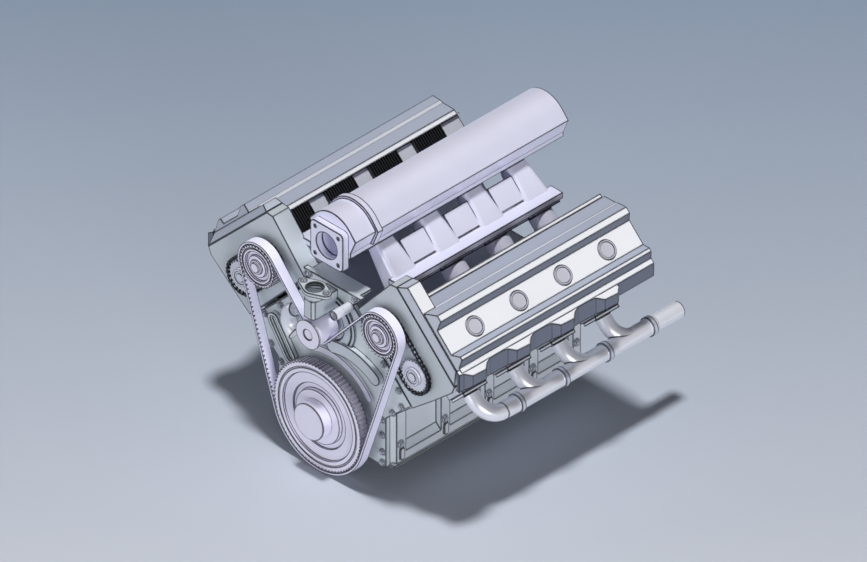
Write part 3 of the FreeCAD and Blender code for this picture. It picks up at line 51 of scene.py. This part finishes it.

# Finishes: pale cast and machined metals, the covers with painted shade by facing. A narrow dark line follows
# every sharp edge.

finishes = {
    "block": dict(color=(0.68, 0.71, 0.76), metallic=0.20, roughness=0.46, grain=0.08, bump=0.05, line=0.95),
    "head": dict(color=(0.66, 0.68, 0.74), metallic=0.20, roughness=0.46, grain=0.07, bump=0.05, line=0.95),
    "case": dict(color=(0.56, 0.61, 0.65), metallic=0.20, roughness=0.44, grain=0.06, bump=0.04, line=0.95),
    "cover": dict(color=(0.90, 0.91, 0.95), metallic=0.12, roughness=0.34, grain=0.03, bump=0.02, line=1.0),
    "plate": dict(color=(0.64, 0.69, 0.71), metallic=0.25, roughness=0.40, grain=0.06, bump=0.02, line=0.95),
    "pulley": dict(color=(0.82, 0.80, 0.93), metallic=0.20, roughness=0.36, grain=0.04, bump=0.02, line=1.0,
                   width=0.0026),
    "belt": dict(color=(0.80, 0.79, 0.98), metallic=0.0, roughness=0.52, grain=0.05, bump=0.03, line=1.0,
                 width=0.0024),
    "chain": dict(color=(0.020, 0.020, 0.026), metallic=0.5, roughness=0.40, grain=0.10, bump=0.02, line=0.6,
                  width=0.0008),
    "panel": dict(color=(0.012, 0.012, 0.015), metallic=0.1, roughness=0.50, grain=0.08, bump=0.02, line=0.3,
                  width=0.0008),
    "intake": dict(color=(0.80, 0.80, 0.96), metallic=0.22, roughness=0.32, grain=0.04, bump=0.02, line=1.0),
    "pipe": dict(color=(0.88, 0.89, 0.96), metallic=0.35, roughness=0.30, grain=0.05, bump=0.02, line=1.0),
    "clamp": dict(color=(0.74, 0.77, 0.88), metallic=0.50, roughness=0.36, grain=0.05, bump=0.02, line=0.9),
    "steel": dict(color=(0.74, 0.75, 0.84), metallic=0.35, roughness=0.30, grain=0.05, bump=0.02, line=1.0,
                  width=0.0014),
    "piston": dict(color=(0.74, 0.74, 0.78), metallic=0.60, roughness=0.28, grain=0.05, bump=0.01, line=0.9),
    "bolt": dict(color=(0.62, 0.64, 0.72), metallic=0.40, roughness=0.32, grain=0.05, bump=0.01, line=1.0,
                 width=0.0014),
}
casting = dict(cloudScale=14, cloudDetail=5, grainScale=700, grainDetail=3, grainDepth=0.0004,
               roughSpread=0.06)
edgeLine = dict(start=0.999, full=0.985, color=(0.001, 0.001, 0.002), samples=10, width=0.0038)
# Painted shade for the covers: shade colours for upright and level faces, and the span of |x| z over which
# they give way to the own tone.
coverPaintedShade = dict(upright=(0.16, 0.18, 0.24), level=(0.45, 0.49, 0.60), start=0.1, full=0.45)


def setInputs(tree, target, inputs):
    # Each input is set to a value, or linked when it is given another node's output.
    for slot, value in inputs.items():
        if isinstance(value, bpy.types.NodeSocket):
            tree.links.new(value, target.inputs[slot])
        else:
            target.inputs[slot].default_value = value


def addNode(tree, kind, inputs, operation=None):
    made = tree.nodes.new("ShaderNode" + kind)
    if operation:
        made.operation = operation
    setInputs(tree, made, inputs)
    return made


def mixed(tree, share, first, second):
    return addNode(tree, "MixRGB", {0: share, 1: first, 2: second}).outputs[0]


def paintedShadeByFacing(tree, coords, tone):
    # Painted shade on the covers' ridges by how their faces stand: full tone where across and up are equal
    # (|x| z of the object's normal is then a half), painted blue-grey shade where level, darker painted shade
    # where upright.
    apart = addNode(tree, "SeparateXYZ", {0: coords.outputs["Normal"]})
    across = addNode(tree, "Math", {0: apart.outputs["X"]}, "ABSOLUTE")
    both = addNode(tree, "Math", {0: across.outputs[0], 1: apart.outputs["Z"]}, "MULTIPLY")
    share = addNode(tree, "MapRange", {"Value": both.outputs[0], "From Min": coverPaintedShade["start"],
                                       "From Max": coverPaintedShade["full"]})
    plain = mixed(tree, apart.outputs["Z"], (*coverPaintedShade["upright"], 1), (*coverPaintedShade["level"], 1))
    return mixed(tree, share.outputs[0], plain, tone)


def makeFinish(name, color, metallic, roughness, grain, bump, line, width=edgeLine["width"]):
    # Cloudy casting tone and fine grain on Object coordinates. The Bevel node's bent normal parts
    # from the true one only near an edge, and that difference draws the dark line.
    material = bpy.data.materials.new(name + "Finish")
    material.use_nodes = True
    tree = material.node_tree
    coords = addNode(tree, "TexCoord", {})
    clouds = addNode(tree, "TexNoise", {"Vector": coords.outputs["Object"], "Scale": casting["cloudScale"],
                                        "Detail": casting["cloudDetail"]})
    fine = addNode(tree, "TexNoise", {"Vector": coords.outputs["Object"], "Scale": casting["grainScale"],
                                      "Detail": casting["grainDetail"]})
    darker = (*[c * (1 - grain) for c in color], 1)
    lighter = (*[min(1, c * (1 + grain)) for c in color], 1)
    tone = mixed(tree, clouds.outputs["Fac"], darker, lighter)
    # The covers get painted shade by the facing of their faces.
    if name == "cover":
        tone = paintedShadeByFacing(tree, coords, tone)
    spread = casting["roughSpread"]
    rough = addNode(tree, "MapRange", {"Value": clouds.outputs["Fac"], "To Min": roughness - spread,
                                       "To Max": roughness + spread})
    bent = addNode(tree, "Bevel", {"Radius": width})
    bent.samples = edgeLine["samples"]
    true = addNode(tree, "NewGeometry", {})
    dot = addNode(tree, "VectorMath", {0: bent.outputs[0], 1: true.outputs["Normal"]}, "DOT_PRODUCT")
    mask = addNode(tree, "MapRange", {"Value": dot.outputs["Value"], "From Min": edgeLine["full"],
                                      "From Max": edgeLine["start"], "To Min": line, "To Max": 0})
    relief = addNode(tree, "Bump", {"Strength": bump, "Distance": casting["grainDepth"],
                                    "Height": fine.outputs["Fac"]})
    setInputs(tree, tree.nodes["Principled BSDF"], {
        "Base Color": mixed(tree, mask.outputs[0], tone, (*edgeLine["color"], 1)), "Metallic": metallic,
        "Roughness": rough.outputs[0], "Normal": relief.outputs[0]})
    return material


materials = {name: makeFinish(name, **values) for name, values in finishes.items()}


def finish(thing, slotName):
    thing.data.materials.clear()
    thing.data.materials.append(materials[slotName])


for part in frame["record"]["subparts"]:
    finish(nodes[part["node"]], part["material_slot"])
print("finishes on", len(nodes), "nodes")

# Builders: every new piece is a list of (points, faces) parts joined into one mesh, in millimetres.

slope = math.sqrt(0.5)


def addPiece(name, parts, slotName, body="engine", replaces=(), smooth=None):
    # Joins the parts, merges nothing, and shades smooth below the given angle.
    points = np.concatenate([part[0] for part in parts]) / 1000
    faces = []
    start = 0
    for vertices, polygons in parts:
        faces += [tuple(int(i) + start for i in polygon) for polygon in polygons]
        start += len(vertices)
    mesh = bpy.data.meshes.new(name)
    mesh.from_pydata(points.tolist(), [], faces)
    mesh.update()
    thing = bpy.data.objects.new(name, mesh)
    bpy.context.scene.collection.objects.link(thing)
    if smooth:
        mesh.polygons.foreach_set("use_smooth", [True] * len(mesh.polygons))
        mesh.set_sharp_from_angle(angle=math.radians(smooth))
    finish(thing, slotName)
    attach(thing, body)
    if replaces:
        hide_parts(*replaces)


def cornersOf(nodeName):
    # Lowest and highest corner of a node at rest, in millimetres.
    return [np.array(corner) * 1000 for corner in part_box(nodeName)]


def gridFaces(rows, columns, closedRows=False, closedColumns=True):
    # Quads between neighbours of a rows by columns grid of points.
    i = np.arange(rows if closedRows else rows - 1)[:, None]
    j = np.arange(columns if closedColumns else columns - 1)[None, :]
    down = (i + 1) % rows
    right = (j + 1) % columns
    quads = np.stack([i * columns + j, down * columns + j, down * columns + right, i * columns + right], -1)
    return quads.reshape(-1, 4).tolist()


def endCaps(rows, columns):
    # The first and last ring of a grid as two flat faces.
    last = (rows - 1) * columns
    return [list(range(columns))[::-1], [last + k for k in range(columns)]]


def facingOut(part):
    # Turns all faces over if the solid came out inside out: the sum over its triangles of
    # corner times the cross product of the other two is then below zero.
    points, faces = part
    fans = np.array([(face[0], face[k], face[k + 1]) for face in faces for k in range(1, len(face) - 1)])
    first, second, third = points[fans].transpose(1, 0, 2)
    volume = (first * np.cross(second, third)).sum()
    return (points, [list(face)[::-1] for face in faces]) if volume < 0 else part


def turned(profile, sides=24):
    # A profile of (radius, height) turned about local z, (r cos a, r sin a, h), with flat caps.
    profile = np.array(profile, float)
    angle = np.arange(sides) * 2 * np.pi / sides
    radius, height = profile[:, 0][:, None], profile[:, 1][:, None]
    points = np.stack([radius * np.cos(angle), radius * np.sin(angle), height + 0 * angle], -1)
    faces = [face[::-1] for face in gridFaces(len(profile), sides)] + endCaps(len(profile), sides)
    return points.reshape(-1, 3), faces


def prismAlong(outline, low, high):
    # A flat outline (x, y), anticlockwise, carried from low to high along local z.
    outline = np.array(outline, float)
    count = len(outline)
    points = np.concatenate([np.column_stack([outline, np.full(count, z)]) for z in (low, high)])
    sides = [[k, (k + 1) % count, count + (k + 1) % count, count + k] for k in range(count)]
    return points, sides + endCaps(2, count)


def sweptBand(rows):
    # Rows of cross sections, each a closed ring of the same count, joined and closed at both ends.
    rows = np.array(rows, float)
    faces = gridFaces(*rows.shape[:2]) + endCaps(*rows.shape[:2])
    return facingOut((rows.reshape(-1, 3), faces))


def slab(corners, step):
    # A flat plate: four corners and the vector through its thickness.
    corners = np.array(corners, float)
    return sweptBand([corners, corners + np.array(step, float)])


def ringPlate(outline, hole, low, high):
    # A flat plate with one hole; both outlines have the same count and start at the same angle.
    count = len(outline)
    layers = [(outline, low), (outline, high), (hole, high), (hole, low)]
    points = np.concatenate([np.column_stack([ring, np.full(count, z)]) for ring, z in layers])
    return facingOut((points, gridFaces(len(layers), count, closedRows=True)))


def turnTo(direction, around=0.0):
    # Rotation whose third column is the direction; around spins the piece about it.
    z = np.array(direction, float)
    z /= np.linalg.norm(z)
    side = np.array([0, 0, 1.0]) if abs(z[2]) < 0.9 else np.array([0, 1.0, 0])
    x = np.cross(side, z)
    x /= np.linalg.norm(x)
    y = np.cross(z, x)
    c, s = math.cos(around), math.sin(around)
    return np.column_stack([x * c + y * s, y * c - x * s, z])


def placed(part, origin, direction=(0, 0, 1), around=0.0):
    points, faces = part
    return points @ turnTo(direction, around).T + np.array(origin, float), faces


def framed(part, origin, x, y, z):
    # Puts a part on the given axes.
    points, faces = part
    return points @ np.column_stack([x, y, z]).T + np.array(origin, float), faces


def bank(sign, across, y, up):
    # A point across and along a bank's cylinders, in engine axes; across counts outwards.
    return np.array([sign * (up + across) * slope, y, (up - across) * slope])


# Bolts of the front cover and of the main bearings, with washers and six-sided heads.
# Widths are shares of the head's radius, heights are in millimetres.
boltShape = dict(washer=1.35, washerEdge=1.1, washerSides=20, seat=1.0, washerTop=1.3, crown=0.93, bevel=0.8,
                 markFoot=0.55, markTop=0.48, markRise=0.25, markSides=16)
frontBolt = dict(radius=5.2, height=4.6)
crossBolt = dict(radius=6.0, height=5.2)
boltPlaces = dict(frontReach=13, crossReach=15, blockHalf=130.0, crossAround=0.3)


def hexBolt(radius, height):
    # Washer, bevelled head and a low round mark on its crown, along local z.
    shape = boltShape
    flat = radius * shape["crown"]
    washer = turned([(radius * shape["washer"], 0), (radius * shape["washer"], shape["seat"]),
                     (radius * shape["washerEdge"], shape["washerTop"])], shape["washerSides"])
    head = turned([(radius, shape["seat"]), (radius, height - shape["bevel"]), (flat, height)], 6)
    mark = turned([(flat * shape["markFoot"], height), (flat * shape["markTop"], height + shape["markRise"])],
                  shape["markSides"])
    return [washer, head, mark]


def hexBolts(places, radius, height):
    # One bolt at each (origin, direction, around).
    return [placed(part, *place) for place in places for part in hexBolt(radius, height)]


def centresOf(nodeName, axes, reach):
    # Middles of a node's separate solids, seen along one axis: groups its points that lie close together.
    mesh = nodes[nodeName].data
    points = np.empty(len(mesh.vertices) * 3)
    mesh.vertices.foreach_get("co", points)
    left = points.reshape(-1, 3) * 1000
    middles = []
    while len(left):
        near = np.linalg.norm(left[:, axes] - left[0, axes], axis=1) < reach
        group = left[near]
        middles.append((group.min(0) + group.max(0)) / 2)
        left = left[~near]
    return middles


coverFace = cornersOf("front_cover")[0][1]
places = [((x, coverFace, z), (0, -1, 0), x)
          for x, y, z in centresOf("front_cover_bolts", [0, 2], boltPlaces["frontReach"])]
addPiece("front_hex_bolts", hexBolts(places, **frontBolt), "bolt", replaces=["front_cover_bolts"])
places = []
for x, y, z in centresOf("main_cross_bolts", [0, 1], boltPlaces["crossReach"]):
    sign = math.copysign(1, x)
    places.append(((sign * boltPlaces["blockHalf"], y, z), (sign, 0, 0), boltPlaces["crossAround"]))
addPiece("cross_hex_bolts", hexBolts(places, **crossBolt), "bolt", replaces=["main_cross_bolts"])
print("bolts made")


def loopPath(stops, offset):
    # A closed loop round the stops (x, z, radius, inside), moved outwards: straight runs, then arcs.
    # A run leans from its stops' centre line by the angle whose sine is the difference of their
    # radii over their distance; a stop that the loop passes on its back counts as negative.
    spans = []
    count = len(stops)
    for i in range(count):
        x0, z0, r0, in0 = stops[i]
        x1, z1, r1, in1 = stops[(i + 1) % count]
        s0, s1 = (r0 if in0 else -r0), (r1 if in1 else -r1)
        length = math.hypot(x1 - x0, z1 - z0)
        normal = math.atan2(z1 - z0, x1 - x0) + math.pi / 2 - math.asin((s0 - s1) / length)
        out = np.array([math.cos(normal), math.sin(normal)])
        spans.append((np.array([x0, z0]) + out * (s0 + offset), np.array([x1, z1]) + out * (s1 + offset)))
    runs = []
    for i in range(count):
        start, end = spans[i]
        runs.append(("line", start, end))
        x, z, radius, inside = stops[(i + 1) % count]
        reach = radius + offset if inside else radius - offset
        leave = spans[(i + 1) % count][0]
        a0 = math.atan2(end[1] - z, end[0] - x)
        a1 = math.atan2(leave[1] - z, leave[0] - x)
        while inside and a1 > a0:
            a1 -= 2 * math.pi
        while not inside and a1 < a0:
            a1 += 2 * math.pi
        runs.append(("arc", (x, z, reach), (a0, a1)))
    return runs


def lengthOf(run):
    return np.linalg.norm(run[2] - run[1]) if run[0] == "line" else abs(run[2][1] - run[2][0]) * run[1][2]


def sampleRuns(runs, number):
    # Evenly spaced points (x, z) over all runs.
    lengths = [lengthOf(run) for run in runs]
    marks = np.arange(number) * sum(lengths) / number
    points = []
    begin = 0
    for run, length in zip(runs, lengths):
        here = marks[(marks >= begin) & (marks < begin + length)] - begin
        if run[0] == "line":
            points.append(run[1] + here[:, None] * (run[2] - run[1]) / length)
        else:
            (x, z, reach), (a0, a1) = run[1], run[2]
            angle = a0 + (a1 - a0) * here / length
            points.append(np.column_stack([x + reach * np.cos(angle), z + reach * np.sin(angle)]))
        begin += length
    return np.concatenate(points)


drive = dict(pitch=8.0, wheelTeeth=80, pulleyTeeth=32, sprocketTeeth=24, tipBelow=0.7, gap=0.3,
             thickness=4.2, drumHeight=175.5, drumRadius=24.0, camAcross=64.0, camUp=262.0,
             exhaustAcross=21.0, exhaustUp=260.0)


def tipOf(teeth, below):
    # A wheel's tip radius: its pitch circle is as long as its teeth times the pitch.
    return teeth * drive["pitch"] / (2 * math.pi) - below


camX = (drive["camUp"] - drive["camAcross"]) * slope
camZ = (drive["camUp"] + drive["camAcross"]) * slope
wheelReach = tipOf(drive["wheelTeeth"], drive["tipBelow"]) + drive["gap"]
pulleyReach = tipOf(drive["pulleyTeeth"], drive["tipBelow"]) + drive["gap"]
beltStops = [(0, 0, wheelReach, True), (-camX, camZ, pulleyReach, True),
             (0, drive["drumHeight"], drive["drumRadius"] + drive["gap"] + drive["thickness"], False),
             (camX, camZ, pulleyReach, True)]

# Teeth inside the belt's free strands, at its front edge.
beltTooth = dict(height=1.4, foot=3.6, crown=2.2, front=0.3, back=3.2, sunk=0.3, margin=7)
footHalf, crownHalf = beltTooth["foot"] / 2, beltTooth["crown"] / 2
parts = []
for kind, start, end in loopPath(beltStops, 0):
    if kind != "line":
        continue
    length = np.linalg.norm(end - start)
    way = (end - start) / length
    inward = np.array([way[1], -way[0]])
    for mark in np.arange(beltTooth["margin"], length - beltTooth["margin"], drive["pitch"]):
        foot = start + way * mark
        sunk, crown = foot - inward * beltTooth["sunk"], foot + inward * beltTooth["height"]
        ring = [sunk - way * footHalf, sunk + way * footHalf,
                crown + way * crownHalf, crown - way * crownHalf]
        points = np.array([(x, y, z) for y in (beltTooth["front"], beltTooth["back"]) for x, z in ring])
        faces = [(0, 1, 2, 3), (7, 6, 5, 4), (0, 4, 5, 1), (1, 5, 6, 2), (2, 6, 7, 3), (3, 7, 4, 0)]
        parts.append((points, faces))
addPiece("belt_teeth", parts, "belt")
print("belt teeth", len(parts))

# Roller chains: pins and rollers with two rows of waisted link plates, in place of the plain bands.
chainLink = dict(clearance=0.3, outwards=2.0, roller=1.75, rollerSpan=(2.2, 5.8), rollerSides=12, pin=1.1,
                 pinSpan=(0, 8), pinSides=8, plate=0.75, bulge=2.7, waist=1.9, ends=(55, 305, 9),
                 rows=((0.3, 7.0), (1.3, 6.0)))


def linkOutline(length):
    # Two round ends joined by a waist, as a closed outline along local x.
    ends = np.radians(np.linspace(*chainLink["ends"]))
    left = np.column_stack([np.cos(ends), np.sin(ends)]) * chainLink["bulge"]
    low, high = [[[length / 2, waist]] for waist in (-chainLink["waist"], chainLink["waist"])]
    return np.concatenate([left, low, -left + [length, 0], high])


def straightRod(radius, span, sides):
    return turned([(radius, span[0]), (radius, span[1])], sides)


for side, sign in banks.items():
    front = cornersOf("cam_chain_" + side)[0][1]
    tip = tipOf(drive["sprocketTeeth"], 0) + chainLink["clearance"]
    stops = sorted([(-drive["camAcross"] * sign, drive["camUp"], tip, True),
                    (drive["exhaustAcross"] * sign, drive["exhaustUp"], tip, True)])
    runs = loopPath(stops, chainLink["outwards"])
    number = int(round(sum(map(lengthOf, runs)) / drive["pitch"] / 2)) * 2
    spots = sampleRuns(runs, number)
    x, y, z = np.array([slope, 0, -slope * sign]), np.array([0, 1.0, 0]), np.array([slope * sign, 0, slope])
    plates = []
    pins = []
    for k in range(number):
        step = spots[(k + 1) % number] - spots[k]
        span = np.linalg.norm(step)
        along = (x * step[0] + z * step[1]) / span
        axes = (along, np.cross(y, along), y)
        origin = x * spots[k][0] + z * spots[k][1] + y * front
        roller = straightRod(chainLink["roller"], chainLink["rollerSpan"], chainLink["rollerSides"])
        pin = straightRod(chainLink["pin"], chainLink["pinSpan"], chainLink["pinSides"])
        plates.append(framed(roller, origin, *axes))
        pins.append(framed(pin, origin, *axes))
        for row in chainLink["rows"][k % 2]:
            plate = prismAlong(linkOutline(span), row, row + chainLink["plate"])
            plates.append(framed(plate, origin, *axes))
    addPiece("roller_chain_" + side, plates, "chain", replaces=["cam_chain_" + side])
    addPiece("chain_pins_" + side, pins, "steel")
print("chains made")

# Scalloped edge of each cam cover on its exhaust side. One wave per cylinder: a long notch, a facet that
# turns outwards, then a shelf that stands proud; the wall below hangs straight down.
scallop = dict(edgeAcross=57.0, edgeUp=350.0, lead=113.3, pitch=101.6, waves=4, front=33.0, inner=8.0,
               dip=2.0, wall=6.0, footRise=3.0, footAcross=12.0,
               marks=(0, 5.6, 12, 24, 36, 46, 53, 60.5, 75, 90, 98),
               reach=(3.2, 0.4, 0.3, 0.3, 0.6, 2.2, 7, 12, 12.7, 13.4, 4.7),
               drop=(31, 34, 35, 35, 35, 33, 28, 22, 21, 21, 28))
firstBore = {"right": 116.2, "left": 100.2}


def scallopRing(sign, y, reach, drop):
    # One cross section: the wall falls as far across as it falls along the cylinders.
    edge, up, fall = scallop["edgeAcross"] + reach, scallop["edgeUp"], drop * slope
    foot = up - fall - scallop["footRise"]
    return [bank(sign, scallop["edgeAcross"] - scallop["inner"], y, up - scallop["dip"]),
            bank(sign, edge, y, up), bank(sign, edge + fall, y, up - fall),
            bank(sign, edge + fall - scallop["wall"], y, foot),
            bank(sign, scallop["edgeAcross"] + scallop["footAcross"], y, foot)]


for side, sign in banks.items():
    rows = []
    for wave in range(scallop["waves"]):
        start = firstBore[side] - scallop["lead"] + scallop["pitch"] * wave
        for mark, reach, drop in zip(scallop["marks"], scallop["reach"], scallop["drop"]):
            if start + mark >= scallop["front"]:
                rows.append(scallopRing(sign, start + mark, reach, drop))
    addPiece("cover_scallops_" + side, [sweptBand(rows)], "cover")

# A pale lip covers the ends of the black fins where they meet the cam cover.
lip = dict(inner=-78.2, outer=-85.4, low=314.2, high=316.4, outerHigh=315.6, front=70.0, back=490.0)
for side, sign in banks.items():
    ring = [(lip["outer"], lip["low"]), (lip["inner"], lip["low"]), (lip["inner"], lip["high"]),
            (lip["outer"], lip["outerHigh"])]
    rows = [[bank(sign, across, y, up) for across, up in ring] for y in (lip["front"], lip["back"])]
    addPiece("fin_lip_" + side, [sweptBand(rows)], "cover")
print("scallops and lips made")

# Plain disc over the end of the crank's nose hub.
hub = dict(radius=33.6, thick=1.2, chamfer=0.6, sunk=0.1, sides=64)
hubFace = cornersOf("crank_nose_hub")[0][1]
disc = turned([(hub["radius"], 0), (hub["radius"], hub["thick"] - hub["chamfer"]),
               (hub["radius"] - hub["chamfer"], hub["thick"])], hub["sides"])
addPiece("nose_disc", [placed(disc, (0, hubFace + hub["sunk"], 0), (0, -1, 0))], "pulley", body="crank")

# Intake shelf along each rail, with a sloping web between neighbouring runners.
shelf = dict(inner=82.0, outer=110.0, low=264.5, high=276.0, front=-34.0, back=36.0)
web = dict(low=-138.0, high=-184.0, up=253.0, thick=3.0, start=23.0, end=79.0, count=3)
for side, sign in banks.items():
    first = firstBore[side]
    ring = [(shelf["inner"], shelf["low"]), (shelf["outer"], shelf["low"]), (shelf["outer"], shelf["high"]),
            (shelf["inner"], shelf["high"])]
    ends = (first + shelf["front"], first + scallop["pitch"] * web["count"] + shelf["back"])
    parts = [sweptBand([[(sign * x, y, z) for x, z in ring] for y in ends])]
    upwards = np.array([sign * slope, 0, slope])
    for k in range(web["count"]):
        near, far = [first + scallop["pitch"] * k + mark for mark in (web["start"], web["end"])]
        corners = [(web["low"], near), (web["low"], far), (web["high"], far), (web["high"], near)]
        corners = [bank(sign, across, y, web["up"]) for across, y in corners]
        parts.append(slab(corners, -upwards * web["thick"]))
    addPiece("intake_shelf_" + side, parts, "intake")

# Water outlet: rounded two-bolt flange with an open mouth, a valve plate across it, and the neck below.
outlet = dict(y=-6.0, top=263.0, thick=7.0, ears=26.0, earRadius=9.5, middle=20.5, mouth=15.0, depth=18.0,
              wall=2.5, wallBelow=3.0, floorEdge=1.0, floorHalf=1.0, floorSides=48, steps=96, smooth=30)
neck = dict(half=13.0, front=1.0, corner=5.0, gap=0.5)
valve = dict(across=12.0, along=9.0, low=250.0, high=262.4, thickness=(0.8, -1.0, 0))
outletBolt = dict(radius=5.0, height=4.4)
outletBoltAround = 0.2

# The flange follows its two ears near the bolts and the middle circle elsewhere. It changes over at
# the angle where both circles share a tangent: its cosine is their difference over the ears' distance.
angles = np.arange(outlet["steps"]) * 2 * np.pi / outlet["steps"]
circle = np.column_stack([np.cos(angles), np.sin(angles)])
lean = np.arccos((outlet["middle"] - outlet["earRadius"]) / outlet["ears"])
ear = np.abs(((angles + np.pi / 2) % np.pi) - np.pi / 2) < lean
flange = circle * outlet["middle"]
flange[ear] = circle[ear] * outlet["earRadius"]
flange[ear, 0] += np.sign(np.cos(angles[ear])) * outlet["ears"]

low, high = cornersOf("thermostat_housing")
place = (0, outlet["y"], 0)
bottom = outlet["top"] - outlet["depth"]
mouth, cup = circle * outlet["mouth"], circle * (outlet["mouth"] + outlet["wall"])
floorRadius = outlet["mouth"] + outlet["floorEdge"]
floorSpan = (bottom - outlet["floorHalf"], bottom + outlet["floorHalf"])
half, frontLine = neck["half"], low[1] + neck["front"]
neckOutline = [(half, frontLine + neck["corner"]), (half, high[1]), (-half, high[1]),
               (-half, frontLine + neck["corner"]), (-half + neck["corner"], frontLine),
               (half - neck["corner"], frontLine)]
ends = [(-valve["across"], outlet["y"] - valve["along"]), (valve["across"], outlet["y"] + valve["along"])]
valveCorners = [(*ends[0], valve["low"]), (*ends[1], valve["low"]), (*ends[1], valve["high"]),
                (*ends[0], valve["high"])]
parts = [placed(ringPlate(flange, mouth, outlet["top"] - outlet["thick"], outlet["top"]), place),
         placed(ringPlate(cup, mouth, bottom, outlet["top"] - outlet["wallBelow"]), place),
         placed(straightRod(floorRadius, floorSpan, outlet["floorSides"]), place),
         prismAlong(neckOutline, low[2], bottom - neck["gap"]), slab(valveCorners, valve["thickness"])]
addPiece("water_outlet_housing", parts, "case", replaces=["thermostat_housing"], smooth=outlet["smooth"])
places = [((x, outlet["y"], outlet["top"]), (0, 0, 1), outletBoltAround)
          for x in (-outlet["ears"], outlet["ears"])]
addPiece("water_outlet_bolts", hexBolts(places, **outletBolt), "bolt")
print("disc, shelves and outlet made")

# Floor, light and camera. The camera looks along the drawing's isometric direction.

view = dict(scale=1.4158, aim=(0, 0.2679, 0.138), distance=4.0, lampDistance=3.0, clipEnd=50)
floorPlane = dict(z=-0.107, half=30, near=(0.515, 0.545, 0.612), far=(0.235, 0.295, 0.390), start=-0.26,
                  end=1.33, roughness=0.95)
lamps = {
    "key": dict(direction=(0.05, -0.05, 1.0), energy=2.7, angle=0.12),
    "right": dict(direction=(0.9, -0.4, 0.06), energy=2.0, angle=0.5),
    "front": dict(direction=(-0.1, -1.0, 0.02), energy=1.1, angle=0.8),
    "left": dict(direction=(-0.9, -0.3, 0.04), energy=1.0, angle=0.8),
}
room = dict(low=(0.55, 0.58, 0.66), high=(1.0, 1.0, 1.0), strength=0.04)


def makeStage():
    # The floor darkens away from the viewer, along (-x + y) in its own coordinates.
    mesh = bpy.data.meshes.new("floor")
    half, z = floorPlane["half"], floorPlane["z"]
    corners = [(-half, -half, z), (half, -half, z), (half, half, z), (-half, half, z)]
    mesh.from_pydata(corners, [], [(0, 1, 2, 3)])
    floor = bpy.data.objects.new("floor", mesh)
    bpy.context.scene.collection.objects.link(floor)
    material = bpy.data.materials.new("floorPaint")
    material.use_nodes = True
    tree = material.node_tree
    coords = addNode(tree, "TexCoord", {})
    away = addNode(tree, "VectorMath", {0: coords.outputs["Object"], 1: (-slope, slope, 0)}, "DOT_PRODUCT")
    fade = addNode(tree, "MapRange", {"Value": away.outputs["Value"], "From Min": floorPlane["start"],
                                      "From Max": floorPlane["end"]})
    tone = mixed(tree, fade.outputs[0], (*floorPlane["near"], 1), (*floorPlane["far"], 1))
    setInputs(tree, tree.nodes["Principled BSDF"], {"Base Color": tone, "Roughness": floorPlane["roughness"]})
    mesh.materials.append(material)


def makeLight(name, direction, energy, angle):
    data = bpy.data.lights.new(name, "SUN")
    data.energy = energy
    data.angle = angle
    lamp = bpy.data.objects.new(name, data)
    aim = Vector(direction).normalized()
    lamp.location = Vector(view["aim"]) + aim * view["lampDistance"]
    lamp.rotation_euler = aim.to_track_quat("Z", "Y").to_euler()
    bpy.context.scene.collection.objects.link(lamp)


def makeWorld():
    # White overhead, blue-grey at the horizon.
    world = bpy.data.worlds.new("room")
    world.use_nodes = True
    tree = world.node_tree
    coords = addNode(tree, "TexCoord", {})
    apart = addNode(tree, "SeparateXYZ", {0: coords.outputs["Generated"]})
    tone = mixed(tree, apart.outputs["Z"], (*room["low"], 1), (*room["high"], 1))
    setInputs(tree, tree.nodes["Background"], {"Color": tone, "Strength": room["strength"]})
    bpy.context.scene.world = world


def makeCamera():
    data = bpy.data.cameras.new("camera")
    data.type = "ORTHO"
    data.ortho_scale = view["scale"]
    data.clip_end = view["clipEnd"]
    camera = bpy.data.objects.new("camera", data)
    sight = Vector((1, -1, 1)).normalized()
    camera.location = Vector(view["aim"]) + sight * view["distance"]
    camera.rotation_euler = sight.to_track_quat("Z", "Y").to_euler()
    bpy.context.scene.collection.objects.link(camera)
    bpy.context.scene.camera = camera


makeStage()
for name, values in lamps.items():
    makeLight(name, **values)
makeWorld()
bpy.context.scene.view_settings.view_transform = "Standard"
makeCamera()
print("stage, light and camera set")
